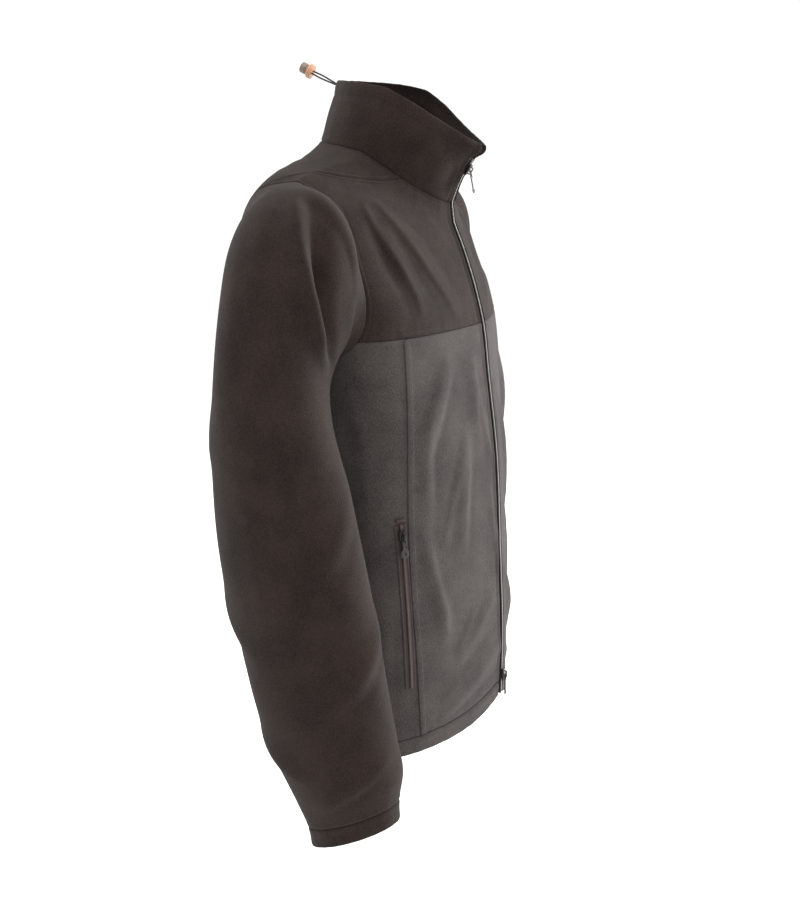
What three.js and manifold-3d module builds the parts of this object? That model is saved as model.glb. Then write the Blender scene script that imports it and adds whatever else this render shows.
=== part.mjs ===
// Fleece zip jacket, worn shape: cut and sewn panels as thin walls, a stand-up collar with a drawcord,
// two sleeves with cuffs, a two-way front zip and two pocket zips.
// Millimetres, +Z up. The front faces -Y and the wearer's left is +X.
// The origin is midway between the shoulders, at the height of the neck points.
import * as THREE from 'three';
import { mergeVertices } from 'three/addons/utils/BufferGeometryUtils.js';
import Module from 'manifold-3d';

const wasm = await Module();
wasm.setup();

// Driving sizes
const CLOTH = 2.0;
const COLLAR_CLOTH = 3.0;
const HEM_CLOTH = 2.8;
const SEAM_GAP = 0.5;
const LAY_GAP = 0.3;
const ZIP_HALF = 7.0;
const ZIP_EDGE = ZIP_HALF + SEAM_GAP;
const TAPE = 1.4;
const CHAIN_HALF = 2.8;
const CHAIN_TOP = 3.4;
const YOKE_DOWN = 286;
const HEM_DOWN = 714;
const END_DOWN = 732;
const SIDE_BACK = 0.68;
const SLEEVE_END = 668;
const CUFF_END = 690;

// Counts of grid steps, shared along each seam so that both sides have the same points
const STEPS = { front: 8, sideFront: 4, neck: 6, shoulder: 6, arm: 24, sideBack: 2, back: 12, rise: 14, sleeve: 19 };

function table(names, rows) {
  const keys = names.split(' ');
  return rows.map((row) => Object.fromEntries(keys.map((key, i) => [key, row[i]])));
}

// Trunk sections. down: millimetres of cloth below the neck seam. half: half-width.
// yF, yS, yB and zF, zS, zB: depth and height at the front, side and back.
// prow: how straight the front runs back from the zip. mF, mB: squareness. kF, kB: how the level eases.
const TRUNK = table('down half yF yS yB zF zS zB prow mF mB kF kB', [
  [0, 78, -69, 3, 77, -52, 1, 15, 0.10, 2.0, 2.0, 1.1, 0.60],
  [28, 104, -70, 13, 86, -62, -6, 2, 0.30, 2.3, 2.2, 1.0, 0.75],
  [66, 142, -71, 26, 97, -70, -14, -10, 0.42, 2.6, 2.5, 1.0, 0.90],
  [104, 178, -72, 37, 108, -76, -21, -26, 0.50, 2.9, 2.9, 1.0, 1.0],
  [134, 200, -75, 42, 114, -84, -32, -46, 0.52, 3.3, 3.4, 1.0, 1.0],
  [162, 208, -80, 42, 118, -96, -58, -70, 0.50, 3.8, 4.2, 1.0, 1.0],
  [200, 210, -88, 40, 120, -118, -98, -104, 0.44, 4.2, 4.2, 1.0, 1.0],
  [245, 210, -98, 36, 119, -150, -145, -146, 0.28, 4.5, 3.9, 1.0, 1.0],
  [286, 209, -107, 31, 119, -187, -187, -187, 0.28, 4.5, 3.6, 1.0, 1.0],
  [350, 206, -114, 22, 115, -246, -250, -250, 0.28, 4.5, 3.2, 1.0, 1.0],
  [435, 202, -124, 12, 109, -330, -335, -337, 0.36, 4.5, 3.0, 1.1, 1.0],
  [555, 200, -130, 4, 104, -450, -456, -462, 0.38, 4.5, 2.8, 1.4, 1.0],
  [660, 204, -134, 0, 102, -554, -573, -578, 0.41, 4.5, 2.7, 2.6, 1.0],
  [732, 206, -133, -2, 97, -624, -646, -652, 0.44, 4.5, 2.6, 14, 1.0],
]);

// The collar's top edge, in the same columns as a trunk section. Between it and the neck seam the
// collar bulges, hollow at the front, and its front edge rolls out just below the top
const COLLAR_TOP = table('half yF yS yB zF zS zB prow mF mB kF kB', [
  [71, -106, -22, 57.5, 12, 71.5, 82, 0.45, 2.2, 2.0, 1.2, 0.5],
])[0];
const COLLAR_BULGE = { front: -5, side: 2.5, back: -1.5, frontReach: 0.16, backReach: 0.25 };
const COLLAR_ROLL = { out: 5, h: 0.905, tall: 0.07, reach: 0.12 };
const COLLAR_FAR_DROP = 10;
const COLLAR_MIDDLE_Y = -8;

// The armhole, as nodes in trunk places: u is the place round the body (0 front, 0.5 side, 1 back)
const ARMHOLE = table('name u down', [
  ['top', 0.519, 118],
  ['topBack', 0.622, 132],
  ['back', 0.631, 203],
  ['lowBack', 0.614, 286],
  ['bottom', 0.505, 311],
  ['lowFront', 0.390, 286],
  ['front', 0.363, 223],
  ['topFront', 0.398, 136],
]);
const TURN = { topBack: 0.125, lowBack: 0.375, lowFront: 0.625 };

// Sleeve sections. w: millimetres along. xI, zI and xO, zO: inner and outer end of the section.
// yF, yB: front and back. tilt: rise towards the front. m: squareness.
const SLEEVE = table('w xI zI xO zO yF yB tilt m', [
  [14, 213, -214, 221, -28, -38, 97, 0, 2.3],
  [40, 214, -218, 252, -40, -37, 93.5, 0, 2.3],
  [75, 214, -224, 285, -66, -32, 90.5, 0, 2.3],
  [115, 214, -236, 312, -108, -26, 87.5, 0, 2.3],
  [160, 214, -254, 328, -160, -21, 88.5, 0, 2.2],
  [215, 214, -285, 336, -222, -25, 91.5, 0, 2.1],
  [285, 214, -335, 337, -302, -42, 94.5, 0, 2.0],
  [370, 214, -415, 335, -397, -61, 89, 0.03, 2.0],
  [455, 214, -493, 333, -485, -76, 68.5, 0.08, 2.0],
  [530, 215, -563, 330, -558, -87, 49.5, 0.16, 2.0],
  [592, 216, -616, 327, -614, -96, 25.5, 0.25, 2.0],
  [640, 221, -652, 322, -650, -102, 6, 0.33, 2.0],
  [668, 227, -678, 313, -677, -98, -4, 0.36, 2.0],
  [698, 229, -706, 311, -705, -99, -9, 0.36, 2.0],
]);

// How far back the left sleeve hangs from the place that mirrors the right one
const LEFT_SWING = table('w back', [
  [0, 0], [14, 12], [40, 21], [75, 25], [115, 25], [160, 21], [215, 17], [285, 15], [370, 23],
  [455, 37], [530, 47], [592, 57], [640, 63], [668, 63], [698, 63],
]);

// Seams that run down the body, as places round it
const PRINCESS = table('down u', [
  [286, 0.290], [354, 0.301], [430, 0.313], [490, 0.320], [572, 0.319], [636, 0.311], [732, 0.296],
]);
const NECK_SHOULDER = 0.33;

// Largest folds of the trunk: a soft ridge (height above 0) or trough from (u0, d0) to (u1, d1)
const TRUNK_FOLDS = table('u0 d0 u1 d1 width height', [
  [-0.364, 100, -0.278, 158, 11, 4.5],
  [-0.278, 158, -0.239, 240, 12, 5.5],
  [-0.345, 84, -0.213, 151, 12, 3.5],
  [-0.213, 151, -0.115, 264, 13, 4.5],
  [-0.31, 120, -0.27, 225, 12, -4.0],
  [-0.175, 330, -0.272, 409, 13, 4.0],
  [-0.272, 409, -0.274, 478, 12, 2.5],
  [-0.133, 422, -0.164, 520, 13, 3.5],
  [-0.080, 330, -0.088, 400, 12, 2.5],
  [-0.291, 502, -0.239, 591, 12, 3.0],
  [-0.239, 591, -0.235, 630, 12, 3.0],
  [-0.055, 610, -0.172, 650, 11, 4.0],
  [-0.022, 670, -0.230, 700, 10, 3.5],
  [0.330, 90, 0.225, 240, 26, -9.0],
  [0.250, 80, 0.110, 250, 13, 3.0],
  [0.160, 345, 0.255, 430, 13, 4.0],
  [0.110, 400, 0.150, 500, 13, 3.5],
  [0.270, 520, 0.225, 615, 12, 3.0],
  [0.060, 590, 0.185, 660, 12, 4.0],
  [0.640, 190, 0.760, 300, 16, 5.0],
  [-0.645, 185, -0.780, 310, 16, 5.0],
  [0.700, 330, 0.800, 520, 18, 4.5],
  [-0.690, 350, -0.820, 500, 18, 4.5],
  [0.930, 120, 0.900, 400, 20, -4.0],
  [-0.920, 150, -0.940, 470, 20, -3.5],
  [0.840, 520, 0.880, 690, 16, 3.5],
  [-0.860, 480, -0.850, 660, 16, 3.5],
]);

// Largest folds of each sleeve: a ridge or trough from (t0, w0) to (t1, w1), t in turns from the top
const SLEEVE_FOLDS = {
  right: table('t0 w0 t1 w1 width height', [
    [-0.016, 30, -0.083, 95, 12, 6.0],
    [-0.083, 95, -0.185, 165, 14, 7.5],
    [-0.085, 40, -0.150, 90, 15, -9.0],
    [-0.150, 90, -0.235, 150, 15, -9.0],
    [0.022, 28, 0.000, 140, 11, 5.0],
    [0.075, 34, 0.060, 190, 12, 3.5],
    [-0.045, 60, -0.050, 210, 11, -3.0],
    [0.330, 150, 0.200, 260, 18, 5.0],
    [-0.260, 300, -0.120, 380, 20, 3.5],
    [0.300, 380, 0.150, 450, 20, 4.0],
    [-0.290, 440, -0.100, 520, 18, 3.0],
    [0.250, 540, 0.050, 600, 16, 3.5],
    [-0.200, 600, 0.020, 640, 14, 3.0],
  ]),
  left: table('t0 w0 t1 w1 width height', [
    [-0.024, 30, -0.090, 90, 12, 6.0],
    [-0.090, 90, -0.200, 160, 14, 7.0],
    [-0.092, 42, -0.160, 92, 15, -8.5],
    [-0.160, 92, -0.240, 145, 15, -8.5],
    [0.030, 28, 0.012, 150, 12, 4.5],
    [0.090, 36, 0.070, 170, 12, 4.0],
    [0.320, 165, 0.180, 280, 18, 5.0],
    [-0.250, 320, -0.100, 400, 20, 4.0],
    [0.310, 400, 0.140, 470, 20, 3.5],
    [-0.280, 470, -0.120, 540, 18, 3.0],
    [0.230, 560, 0.040, 615, 16, 3.5],
  ]),
};

// Smooth curve through rows: value of each column at q, with slopes taken from the neighbours
function slopes(xs, ys) {
  const last = xs.length - 1;
  const secant = (i) => (ys[i + 1] - ys[i]) / (xs[i + 1] - xs[i]);
  return xs.map((x, i) => {
    if (i === 0) return secant(0);
    if (i === last) return secant(last - 1);
    const before = x - xs[i - 1];
    const after = xs[i + 1] - x;
    return (secant(i - 1) * after + secant(i) * before) / (before + after);
  });
}

function smoothColumn(xs, ys) {
  const m = slopes(xs, ys);
  return (q) => {
    let i = 0;
    while (i < xs.length - 2 && q >= xs[i + 1]) i += 1;
    const h = xs[i + 1] - xs[i];
    const t = (q - xs[i]) / h;
    const [t2, t3] = [t * t, t * t * t];
    const value = (2 * t3 - 3 * t2 + 1) * ys[i] + (-2 * t3 + 3 * t2) * ys[i + 1];
    return value + (t3 - 2 * t2 + t) * h * m[i] + (t3 - t2) * h * m[i + 1];
  };
}

function smoothTable(rows, key) {
  const xs = rows.map((row) => row[key]);
  const columns = Object.keys(rows[0]).filter((name) => name !== key);
  const curves = columns.map((name) => smoothColumn(xs, rows.map((row) => row[name])));
  return (q) => Object.fromEntries(columns.map((name, i) => [name, curves[i](q)]));
}

const trunkSection = smoothTable(TRUNK, 'down');
const princessTable = smoothTable(PRINCESS, 'down');
const princess = (down) => princessTable(down).u;

// A point of a body section at the place u, by its share of the cloth from the centre line to the side
const SECTION_STEPS = 64;
function sectionPoint(section, place) {
  const u = place > 1 ? place - 2 : place;
  const a = Math.abs(u);
  const front = a <= 0.5;
  const share = front ? 2 * a : 2 - 2 * a;
  const prow = front ? section.prow : 0;
  const m = front ? section.mF : section.mB;
  const yC = front ? section.yF : section.yB;
  const across = (i) => Math.sin((i / SECTION_STEPS) * Math.PI / 2);
  const depth = (xi) => {
    const round = 1 - Math.max(0, 1 - xi ** m) ** (1 / m);
    return yC + (section.yS - yC) * (prow * xi ** 1.3 + (1 - prow) * round);
  };
  const xs = [];
  const ys = [];
  const run = [0];
  for (let i = 0; i <= SECTION_STEPS; i += 1) {
    xs.push(section.half * across(i));
    ys.push(depth(across(i)));
    if (i > 0) run.push(run[i - 1] + Math.hypot(xs[i] - xs[i - 1], ys[i] - ys[i - 1]));
  }
  const goal = share * run[SECTION_STEPS];
  let i = 0;
  while (i < SECTION_STEPS - 1 && run[i + 1] < goal) i += 1;
  const t = (goal - run[i]) / (run[i + 1] - run[i]);
  const x = xs[i] + t * (xs[i + 1] - xs[i]);
  const y = ys[i] + t * (ys[i + 1] - ys[i]);
  const w = Math.min(1, Math.max(0, (y - section.yS) / (yC - section.yS)));
  const level = front ? section.zF : section.zB;
  const z = section.zS + (level - section.zS) * w ** (front ? section.kF : section.kB);
  return new THREE.Vector3(u < 0 ? -x : x, y, z);
}

// Height of the folds at a place, from distances measured in millimetres of cloth
const GIRTH_PER_HALF = 2.6;
function foldHeight(folds, a, b, scale, ends) {
  let sum = 0;
  for (const fold of folds) {
    const [a0, b0, a1, b1] = ends(fold);
    const ax = (a1 - a0) * scale;
    const bx = b1 - b0;
    const px = (a - a0) * scale;
    const py = b - b0;
    const t = Math.min(1, Math.max(0, (px * ax + py * bx) / (ax * ax + bx * bx)));
    const away = Math.hypot(px - t * ax, py - t * bx) / fold.width;
    if (away < 3) sum += fold.height * Math.exp(-away * away) * (0.55 + 0.45 * Math.sin(Math.PI * t));
  }
  return sum;
}

const trunkBase = (u, down) => sectionPoint(trunkSection(down), u);

function frameOf(surface, a, b, da, db) {
  const p = surface(a, b);
  const alongA = surface(a + da, b).sub(surface(a - da, b));
  const alongB = surface(a, b + db).sub(surface(a, b - db));
  return { p, n: alongA.cross(alongB).normalize(), up: alongB.clone().normalize().negate() };
}

// The skin of the trunk: inner face of the cloth with its outward normal
function trunkSkin(u, down) {
  const edge = Math.min(END_DOWN - 0.5, Math.max(0.5, down));
  const frame = frameOf(trunkBase, u, edge, 0.003, 0.5);
  frame.n.negate();
  const wrapped = u > 1 ? u - 2 : u;
  const scale = GIRTH_PER_HALF * trunkSection(down).half;
  const ends = (f) => [f.u0, f.d0, f.u1, f.d1];
  const lift = foldHeight(TRUNK_FOLDS, wrapped, down, scale, ends);
  frame.p = trunkBase(u, down).addScaledVector(frame.n, lift);
  return frame;
}

// Place round the body where the skin is this far from the centre plane
function placeAcross(x, down) {
  let [low, high] = [0, 0.3];
  for (let i = 0; i < 40; i += 1) {
    const mid = (low + high) / 2;
    if (trunkBase(mid, down).x < x) low = mid;
    else high = mid;
  }
  return high;
}

function closedCurve(nodes, turn) {
  const count = nodes.length;
  const at = (((turn % 1) + 1) % 1) * count;
  const i = Math.floor(at);
  const t = at - i;
  const [a, b, c, d] = [-1, 0, 1, 2].map((k) => nodes[(i + k + count) % count]);
  const cubic = (key) => {
    const [pa, pb, pc, pd] = [a[key], b[key], c[key], d[key]];
    const inner = 2 * pa - 5 * pb + 4 * pc - pd + t * (3 * (pb - pc) + pd - pa);
    return pb + 0.5 * t * (pc - pa + t * inner);
  };
  return [cubic('u'), cubic('down')];
}
const armhole = (turn) => closedCurve(ARMHOLE, turn);

// Sleeve surface: the armhole edge first, then each section, joined by smooth curves
const signedPower = (value, power) => Math.sign(value) * Math.abs(value) ** power;
const sleeveStops = [0, ...SLEEVE.map((row) => row.w)];
function sleeveRing(row, turn) {
  const angle = turn * 2 * Math.PI;
  const out = signedPower(Math.cos(angle), 2 / row.m);
  const back = signedPower(Math.sin(angle), 2 / row.m);
  const halfDepth = (row.yB - row.yF) / 2;
  return new THREE.Vector3(
    (row.xO + row.xI) / 2 + ((row.xO - row.xI) / 2) * out,
    (row.yF + row.yB) / 2 + halfDepth * back,
    (row.zO + row.zI) / 2 + ((row.zO - row.zI) / 2) * out - row.tilt * halfDepth * back,
  );
}

const leftSwing = smoothTable(LEFT_SWING, 'w');
function sleeveBase(turn, w, side) {
  const [u, down] = armhole(turn);
  const points = [trunkBase(u, down), ...SLEEVE.map((row) => sleeveRing(row, turn))];
  const at = (axis) => smoothColumn(sleeveStops, points.map((p) => p[axis]))(w);
  const swing = side === 'left' ? leftSwing(w).back : 0;
  return new THREE.Vector3(at('x'), at('y') + swing, at('z'));
}

const SLEEVE_GIRTH = 420;
const FOLD_START = 22;
function sleeveSkin(turn, w, side) {
  const edge = Math.max(6, Math.min(CUFF_END - 0.5, w));
  const surface = (a, b) => sleeveBase(a, b, side);
  const frame = frameOf(surface, turn, edge, 0.004, 0.5);
  frame.n.negate();
  if (w < 10) {
    const seam = trunkSkin(...armhole(turn));
    frame.n.lerp(seam.n, 1 - w / 10).normalize();
  }
  const wrapped = turn - Math.round(turn);
  const ends = (f) => [f.t0, f.w0, f.t1, f.w1];
  const fade = Math.min(1, w / FOLD_START) * Math.min(1, Math.max(0, (SLEEVE_END - w) / FOLD_START));
  const lift = foldHeight(SLEEVE_FOLDS[side], wrapped, w, SLEEVE_GIRTH, ends) * fade;
  frame.p = surface(turn, w).addScaledVector(frame.n, lift);
  return frame;
}

// Collar surface: from the neck seam (h = 0) to the top edge (h = 1)
function collarBase(u, h) {
  const low = sectionPoint(trunkSection(0), u);
  const high = sectionPoint(COLLAR_TOP, u);
  const wrapped = u > 1 ? u - 2 : u;
  if (wrapped > 0) high.z -= COLLAR_FAR_DROP * Math.exp(-(((wrapped - 0.3) / 0.2) ** 2));
  const p = low.lerp(high, h);
  const away = new THREE.Vector3(p.x, p.y - COLLAR_MIDDLE_Y, 0).normalize();
  const { front, side, back, frontReach, backReach } = COLLAR_BULGE;
  const nearFront = Math.exp(-((wrapped / frontReach) ** 2));
  const nearBack = Math.exp(-(((1 - Math.abs(wrapped)) / backReach) ** 2));
  const bulge = (side + (front - side) * nearFront + (back - side) * nearBack) * Math.sin(Math.PI * h);
  const fromRoll = Math.hypot(wrapped / COLLAR_ROLL.reach, (h - COLLAR_ROLL.h) / COLLAR_ROLL.tall);
  const roll = COLLAR_ROLL.out * Math.exp(-(fromRoll ** 2));
  return p.addScaledVector(away, bulge + roll);
}

function collarSkin(u, h) {
  const edge = Math.min(0.99, Math.max(0.01, h));
  const frame = frameOf(collarBase, u, edge, 0.004, 0.01);
  frame.p = collarBase(u, h);
  if (h === 0) frame.n = trunkSkin(u, 0).n;
  return frame;
}

// Grids. A line is a list of places; a patch fills four lines that meet at their corners
function line(from, to, steps, skipFirst = false) {
  const points = [];
  for (let i = skipFirst ? 1 : 0; i <= steps; i += 1) {
    const t = i / steps;
    points.push([from[0] + (to[0] - from[0]) * t, from[1] + (to[1] - from[1]) * t]);
  }
  return points;
}

function curveLine(place, from, to, steps, skipFirst = false) {
  const points = [];
  for (let i = skipFirst ? 1 : 0; i <= steps; i += 1) points.push(place(from + ((to - from) * i) / steps));
  return points;
}

const MM_PER_PLACE = 500;
function shares(points) {
  const run = [0];
  for (let i = 1; i < points.length; i += 1) {
    const du = (points[i][0] - points[i - 1][0]) * MM_PER_PLACE;
    const dd = points[i][1] - points[i - 1][1];
    run.push(run[i - 1] + Math.hypot(du, dd));
  }
  return run.map((value) => value / run[run.length - 1]);
}

function patch(top, bottom, left, right) {
  const s = shares(bottom);
  const t = shares(left);
  const last = [top.length - 1, left.length - 1];
  return left.map((l, j) => top.map((upper, i) => [0, 1].map((k) => {
    const ruled = (1 - t[j]) * upper[k] + t[j] * bottom[i][k] + (1 - s[i]) * l[k] + s[i] * right[j][k];
    const topCorners = (1 - s[i]) * top[0][k] + s[i] * top[last[0]][k];
    const lowCorners = (1 - s[i]) * bottom[0][k] + s[i] * bottom[last[0]][k];
    return ruled - (1 - t[j]) * topCorners - t[j] * lowCorners;
  })));
}

// Draws the edges of a grid back from the seam line, square to the edge and along the cloth
function trim(grid, wrap, sides) {
  const rows = grid.length;
  const columns = grid[0].length;
  const source = grid.map((row) => row.map((cell) => cell.p.clone()));
  const at = (j, i) => {
    const row = source[Math.min(rows - 1, Math.max(0, j))];
    return wrap ? row[(i + columns) % columns] : row[Math.min(columns - 1, Math.max(0, i))];
  };
  const pull = (j, i, inward, edge) => {
    const way = at(j + inward[0], i + inward[1]).clone().sub(source[j][i]);
    const run = at(j + edge[0], i + edge[1]).clone().sub(at(j - edge[0], i - edge[1])).normalize();
    way.addScaledVector(run, -way.dot(run)).normalize();
    grid[j][i].p.addScaledVector(way, SEAM_GAP / 2);
  };
  for (let i = 0; i < columns; i += 1) {
    if (sides.top) pull(0, i, [1, 0], [0, 1]);
    if (sides.bottom) pull(rows - 1, i, [-1, 0], [0, 1]);
  }
  for (let j = 0; j < rows && !wrap; j += 1) {
    if (sides.left) pull(j, 0, [0, 1], [1, 0]);
    if (sides.right) pull(j, columns - 1, [0, -1], [1, 0]);
  }
}

// A closed wall on a grid of skin frames: inner face at from, outer face at to, along the normals
function wall(grid, from, to, wrap = false) {
  const rows = grid.length;
  const columns = grid[0].length;
  const positions = [];
  for (const level of [from, to]) {
    for (const row of grid) {
      for (const cell of row) positions.push(...cell.p.clone().addScaledVector(cell.n, level).toArray());
    }
  }
  const inner = (j, i) => j * columns + (i % columns);
  const outer = (j, i) => rows * columns + inner(j, i);
  const index = [];
  const quad = (a, b, c, d) => index.push(a, b, c, a, c, d);
  const steps = wrap ? columns : columns - 1;
  for (let j = 0; j < rows - 1; j += 1) {
    for (let i = 0; i < steps; i += 1) {
      quad(outer(j, i), outer(j, i + 1), outer(j + 1, i + 1), outer(j + 1, i));
      quad(inner(j, i), inner(j + 1, i), inner(j + 1, i + 1), inner(j, i + 1));
    }
  }
  for (let i = 0; i < steps; i += 1) {
    quad(outer(0, i + 1), outer(0, i), inner(0, i), inner(0, i + 1));
    quad(outer(rows - 1, i), outer(rows - 1, i + 1), inner(rows - 1, i + 1), inner(rows - 1, i));
  }
  for (let j = 0; j < rows - 1 && !wrap; j += 1) {
    quad(outer(j, 0), outer(j + 1, 0), inner(j + 1, 0), inner(j, 0));
    quad(outer(j + 1, steps), outer(j, steps), inner(j, steps), inner(j + 1, steps));
  }
  return facingOut(positions, index);
}

function facingOut(positions, index) {
  let volume = 0;
  const corner = (k) => new THREE.Vector3().fromArray(positions, 3 * index[k]);
  for (let k = 0; k < index.length; k += 3) volume += corner(k).dot(corner(k + 1).cross(corner(k + 2)));
  const turned = volume < 0 ? index.map((value, k) => index[k % 3 === 0 ? k : k + (k % 3 === 1 ? 1 : -1)]) : index;
  const geometry = new THREE.BufferGeometry();
  geometry.setAttribute('position', new THREE.Float32BufferAttribute(positions, 3));
  geometry.setIndex(turned);
  return geometry;
}

// Finishes
const finish = (color, roughness, metalness = 0) => new THREE.MeshStandardMaterial({ color, roughness, metalness });
const BLACK_FLEECE = finish(0x2d2624, 0.95);
const GREY_FLEECE = finish(0x4a4a4b, 0.95);
const ZIP_TAPE = finish(0x17130f, 0.8);
const ZIP_PLASTIC = finish(0x0c0b0b, 0.35);
const CORD = finish(0x2b2f2e, 0.7);
const TOGGLE_TAN = finish(0xc98f66, 0.4);
const TOGGLE_GREY = finish(0x7a6a60, 0.4);
const EYELET_METAL = finish(0x3a3634, 0.35, 0.8);

const jacket = new THREE.Group();
function add(name, geometry, material, matrix = null) {
  const mesh = new THREE.Mesh(geometry, material);
  mesh.name = name;
  if (matrix) mesh.applyMatrix4(matrix);
  jacket.add(mesh);
}

// Panels. Each is described on the wearer's left (u above 0) and mirrored by its side
const SIDES = [{ name: 'right', sign: -1 }, { name: 'left', sign: 1 }];
const everyEdge = { top: true, bottom: true, left: true, right: true };
const zipPlace = (down) => [placeAcross(ZIP_EDGE - SEAM_GAP / 2, down), down];
const princessPlace = (down) => [princess(down), down];
const armTurn = (turn) => armhole(turn);
const armLowFront = armhole(TURN.lowFront);
const armLowBack = armhole(TURN.lowBack);
const armTopBack = armhole(TURN.topBack);
const armSteps = (turns) => Math.round(STEPS.arm * turns);

const yokeFrontLine = [
  ...line(zipPlace(YOKE_DOWN), princessPlace(YOKE_DOWN), STEPS.front),
  ...line(princessPlace(YOKE_DOWN), armLowFront, STEPS.sideFront, true),
];
const armBottomLine = curveLine(armTurn, TURN.lowFront, TURN.lowBack, armSteps(0.25), true);
const neckFront = line(zipPlace(0), [NECK_SHOULDER, 0], STEPS.neck);
const shoulderSeam = line([NECK_SHOULDER, 0], armTopBack, STEPS.shoulder, true);

function places(grid, sign) {
  return grid.map((row) => row.map(([u, down]) => trunkSkin(sign * u, down)));
}

function panel(name, grid, material, sign, thickness = CLOTH, sides = everyEdge) {
  const cells = places(grid, sign);
  trim(cells, false, sides);
  add(name, wall(cells, 0, thickness), material);
}

function frontYoke(side) {
  const right = curveLine(armTurn, 1 + TURN.topBack, TURN.lowFront, armSteps(0.5));
  const left = curveLine(zipPlace, 0, YOKE_DOWN, right.length - 1);
  const top = [...neckFront, ...shoulderSeam];
  panel(`yoke-front-${side.name}`, patch(top, yokeFrontLine, left, right), BLACK_FLEECE, side.sign);
}

function frontPanel(side) {
  const left = curveLine(zipPlace, YOKE_DOWN, HEM_DOWN, STEPS.rise);
  const right = curveLine(princessPlace, YOKE_DOWN, HEM_DOWN, STEPS.rise);
  const top = line(left[0], right[0], STEPS.front);
  const bottom = line(left[STEPS.rise], right[STEPS.rise], STEPS.front);
  panel(`front-${side.name}`, patch(top, bottom, left, right), GREY_FLEECE, side.sign);
}

function sidePanel(side) {
  const left = curveLine(princessPlace, YOKE_DOWN, HEM_DOWN, STEPS.rise);
  const right = line([SIDE_BACK, YOKE_DOWN], [SIDE_BACK, HEM_DOWN], STEPS.rise);
  const top = [
    ...line(princessPlace(YOKE_DOWN), armLowFront, STEPS.sideFront),
    ...armBottomLine,
    ...line(armLowBack, right[0], STEPS.sideBack, true),
  ];
  const bottom = line(left[STEPS.rise], right[STEPS.rise], top.length - 1);
  panel(`side-${side.name}`, patch(top, bottom, left, right), GREY_FLEECE, side.sign);
}

function backPanel() {
  const mirror = 2 - SIDE_BACK;
  const left = line([SIDE_BACK, YOKE_DOWN], [SIDE_BACK, HEM_DOWN], STEPS.rise);
  const right = line([mirror, YOKE_DOWN], [mirror, HEM_DOWN], STEPS.rise);
  const top = line(left[0], right[0], STEPS.back);
  const bottom = line(left[STEPS.rise], right[STEPS.rise], STEPS.back);
  panel('back', patch(top, bottom, left, right), GREY_FLEECE, 1);
}

const flip = (points) => points.map(([u, down]) => [2 - u, down]);
function backYoke() {
  const left = [
    [NECK_SHOULDER, 0],
    ...shoulderSeam,
    ...curveLine(armTurn, TURN.topBack, TURN.lowBack, armSteps(0.25), true),
  ];
  const right = flip(left);
  const bottom = [
    ...line(armLowBack, [SIDE_BACK, YOKE_DOWN], STEPS.sideBack),
    ...line([SIDE_BACK, YOKE_DOWN], [2 - SIDE_BACK, YOKE_DOWN], STEPS.back, true),
    ...line([2 - SIDE_BACK, YOKE_DOWN], flip([armLowBack])[0], STEPS.sideBack, true),
  ];
  const top = line(left[0], right[0], bottom.length - 1);
  panel('yoke-back', patch(top, bottom, left, right), BLACK_FLEECE, 1);
}

// The hem: one folded band round the body, open at the zip
function hem() {
  const half = [
    ...line(zipPlace(HEM_DOWN), princessPlace(HEM_DOWN), STEPS.front),
    ...line(princessPlace(HEM_DOWN), [SIDE_BACK, HEM_DOWN], STEPS.sideFront + armSteps(0.25) + STEPS.sideBack, true),
  ];
  const top = [...half, ...line([SIDE_BACK, HEM_DOWN], [2 - SIDE_BACK, HEM_DOWN], STEPS.back, true),
    ...flip(half.slice(0, -1)).reverse()];
  const grid = [0, 0.5, 1].map((t) => top.map(([u]) => [u, HEM_DOWN + t * (END_DOWN - HEM_DOWN)]));
  for (const row of grid) {
    row[0] = zipPlace(row[0][1]);
    row[row.length - 1] = flip([row[0]])[0];
  }
  panel('hem', grid, GREY_FLEECE, 1, HEM_CLOTH, { ...everyEdge, bottom: false });
}

// A strip that lies on the panels along a line of places
function stripOn(name, centre, halfWidth, from, to, material, sign) {
  const grid = centre.map(([u, down]) => {
    const reach = halfWidth / (GIRTH_PER_HALF * trunkSection(down).half);
    return [-1, 1].map((k) => trunkSkin(sign * (u + k * reach), down));
  });
  add(name, wall(grid, from, to), material);
}

const BAND = { half: 4, from: CLOTH + LAY_GAP, to: CLOTH + LAY_GAP + 1.3 };
function princessBand(side) {
  const centre = curveLine(princessPlace, YOKE_DOWN + 1, HEM_DOWN - 1, STEPS.rise * 2);
  stripOn(`princess-band-${side.name}`, centre, BAND.half, BAND.from, BAND.to, GREY_FLEECE, side.sign);
}

// Sleeves and cuffs: tubes that share the armhole's points and each other's at the cuff seam
const sleeveStations = [...Array(STEPS.sleeve + 1).keys()].map((i) => SLEEVE_END * (i / STEPS.sleeve) ** 1.25);
function tube(name, stations, thickness, side, sides) {
  const grid = stations.map((w) => [...Array(STEPS.arm).keys()].map((i) => {
    const cell = sleeveSkin(i / STEPS.arm, w, side.name);
    cell.p.x *= side.sign;
    cell.n.x *= side.sign;
    return cell;
  }));
  trim(grid, true, sides);
  add(name, wall(grid, 0, thickness, true), BLACK_FLEECE);
}

// Collar: one standing wall, open at the front above the zip
const COLLAR_ROWS = [0, 0.07, 0.28, 0.52, 0.76, 1];
function collarPlaces() {
  const back = line([NECK_SHOULDER, 0], [2 - NECK_SHOULDER, 0], STEPS.back + 2 * STEPS.sideBack, true);
  return [...neckFront, ...back, ...flip(neckFront.slice(0, -1)).reverse()].map(([u]) => u);
}

function collar() {
  const base = collarPlaces();
  const grid = COLLAR_ROWS.map((h) => base.map((u) => collarSkin(u, h)));
  trim(grid, false, { top: true, bottom: false, left: true, right: true });
  add('collar', wall(grid, 0, COLLAR_CLOTH), BLACK_FLEECE);
}

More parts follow.
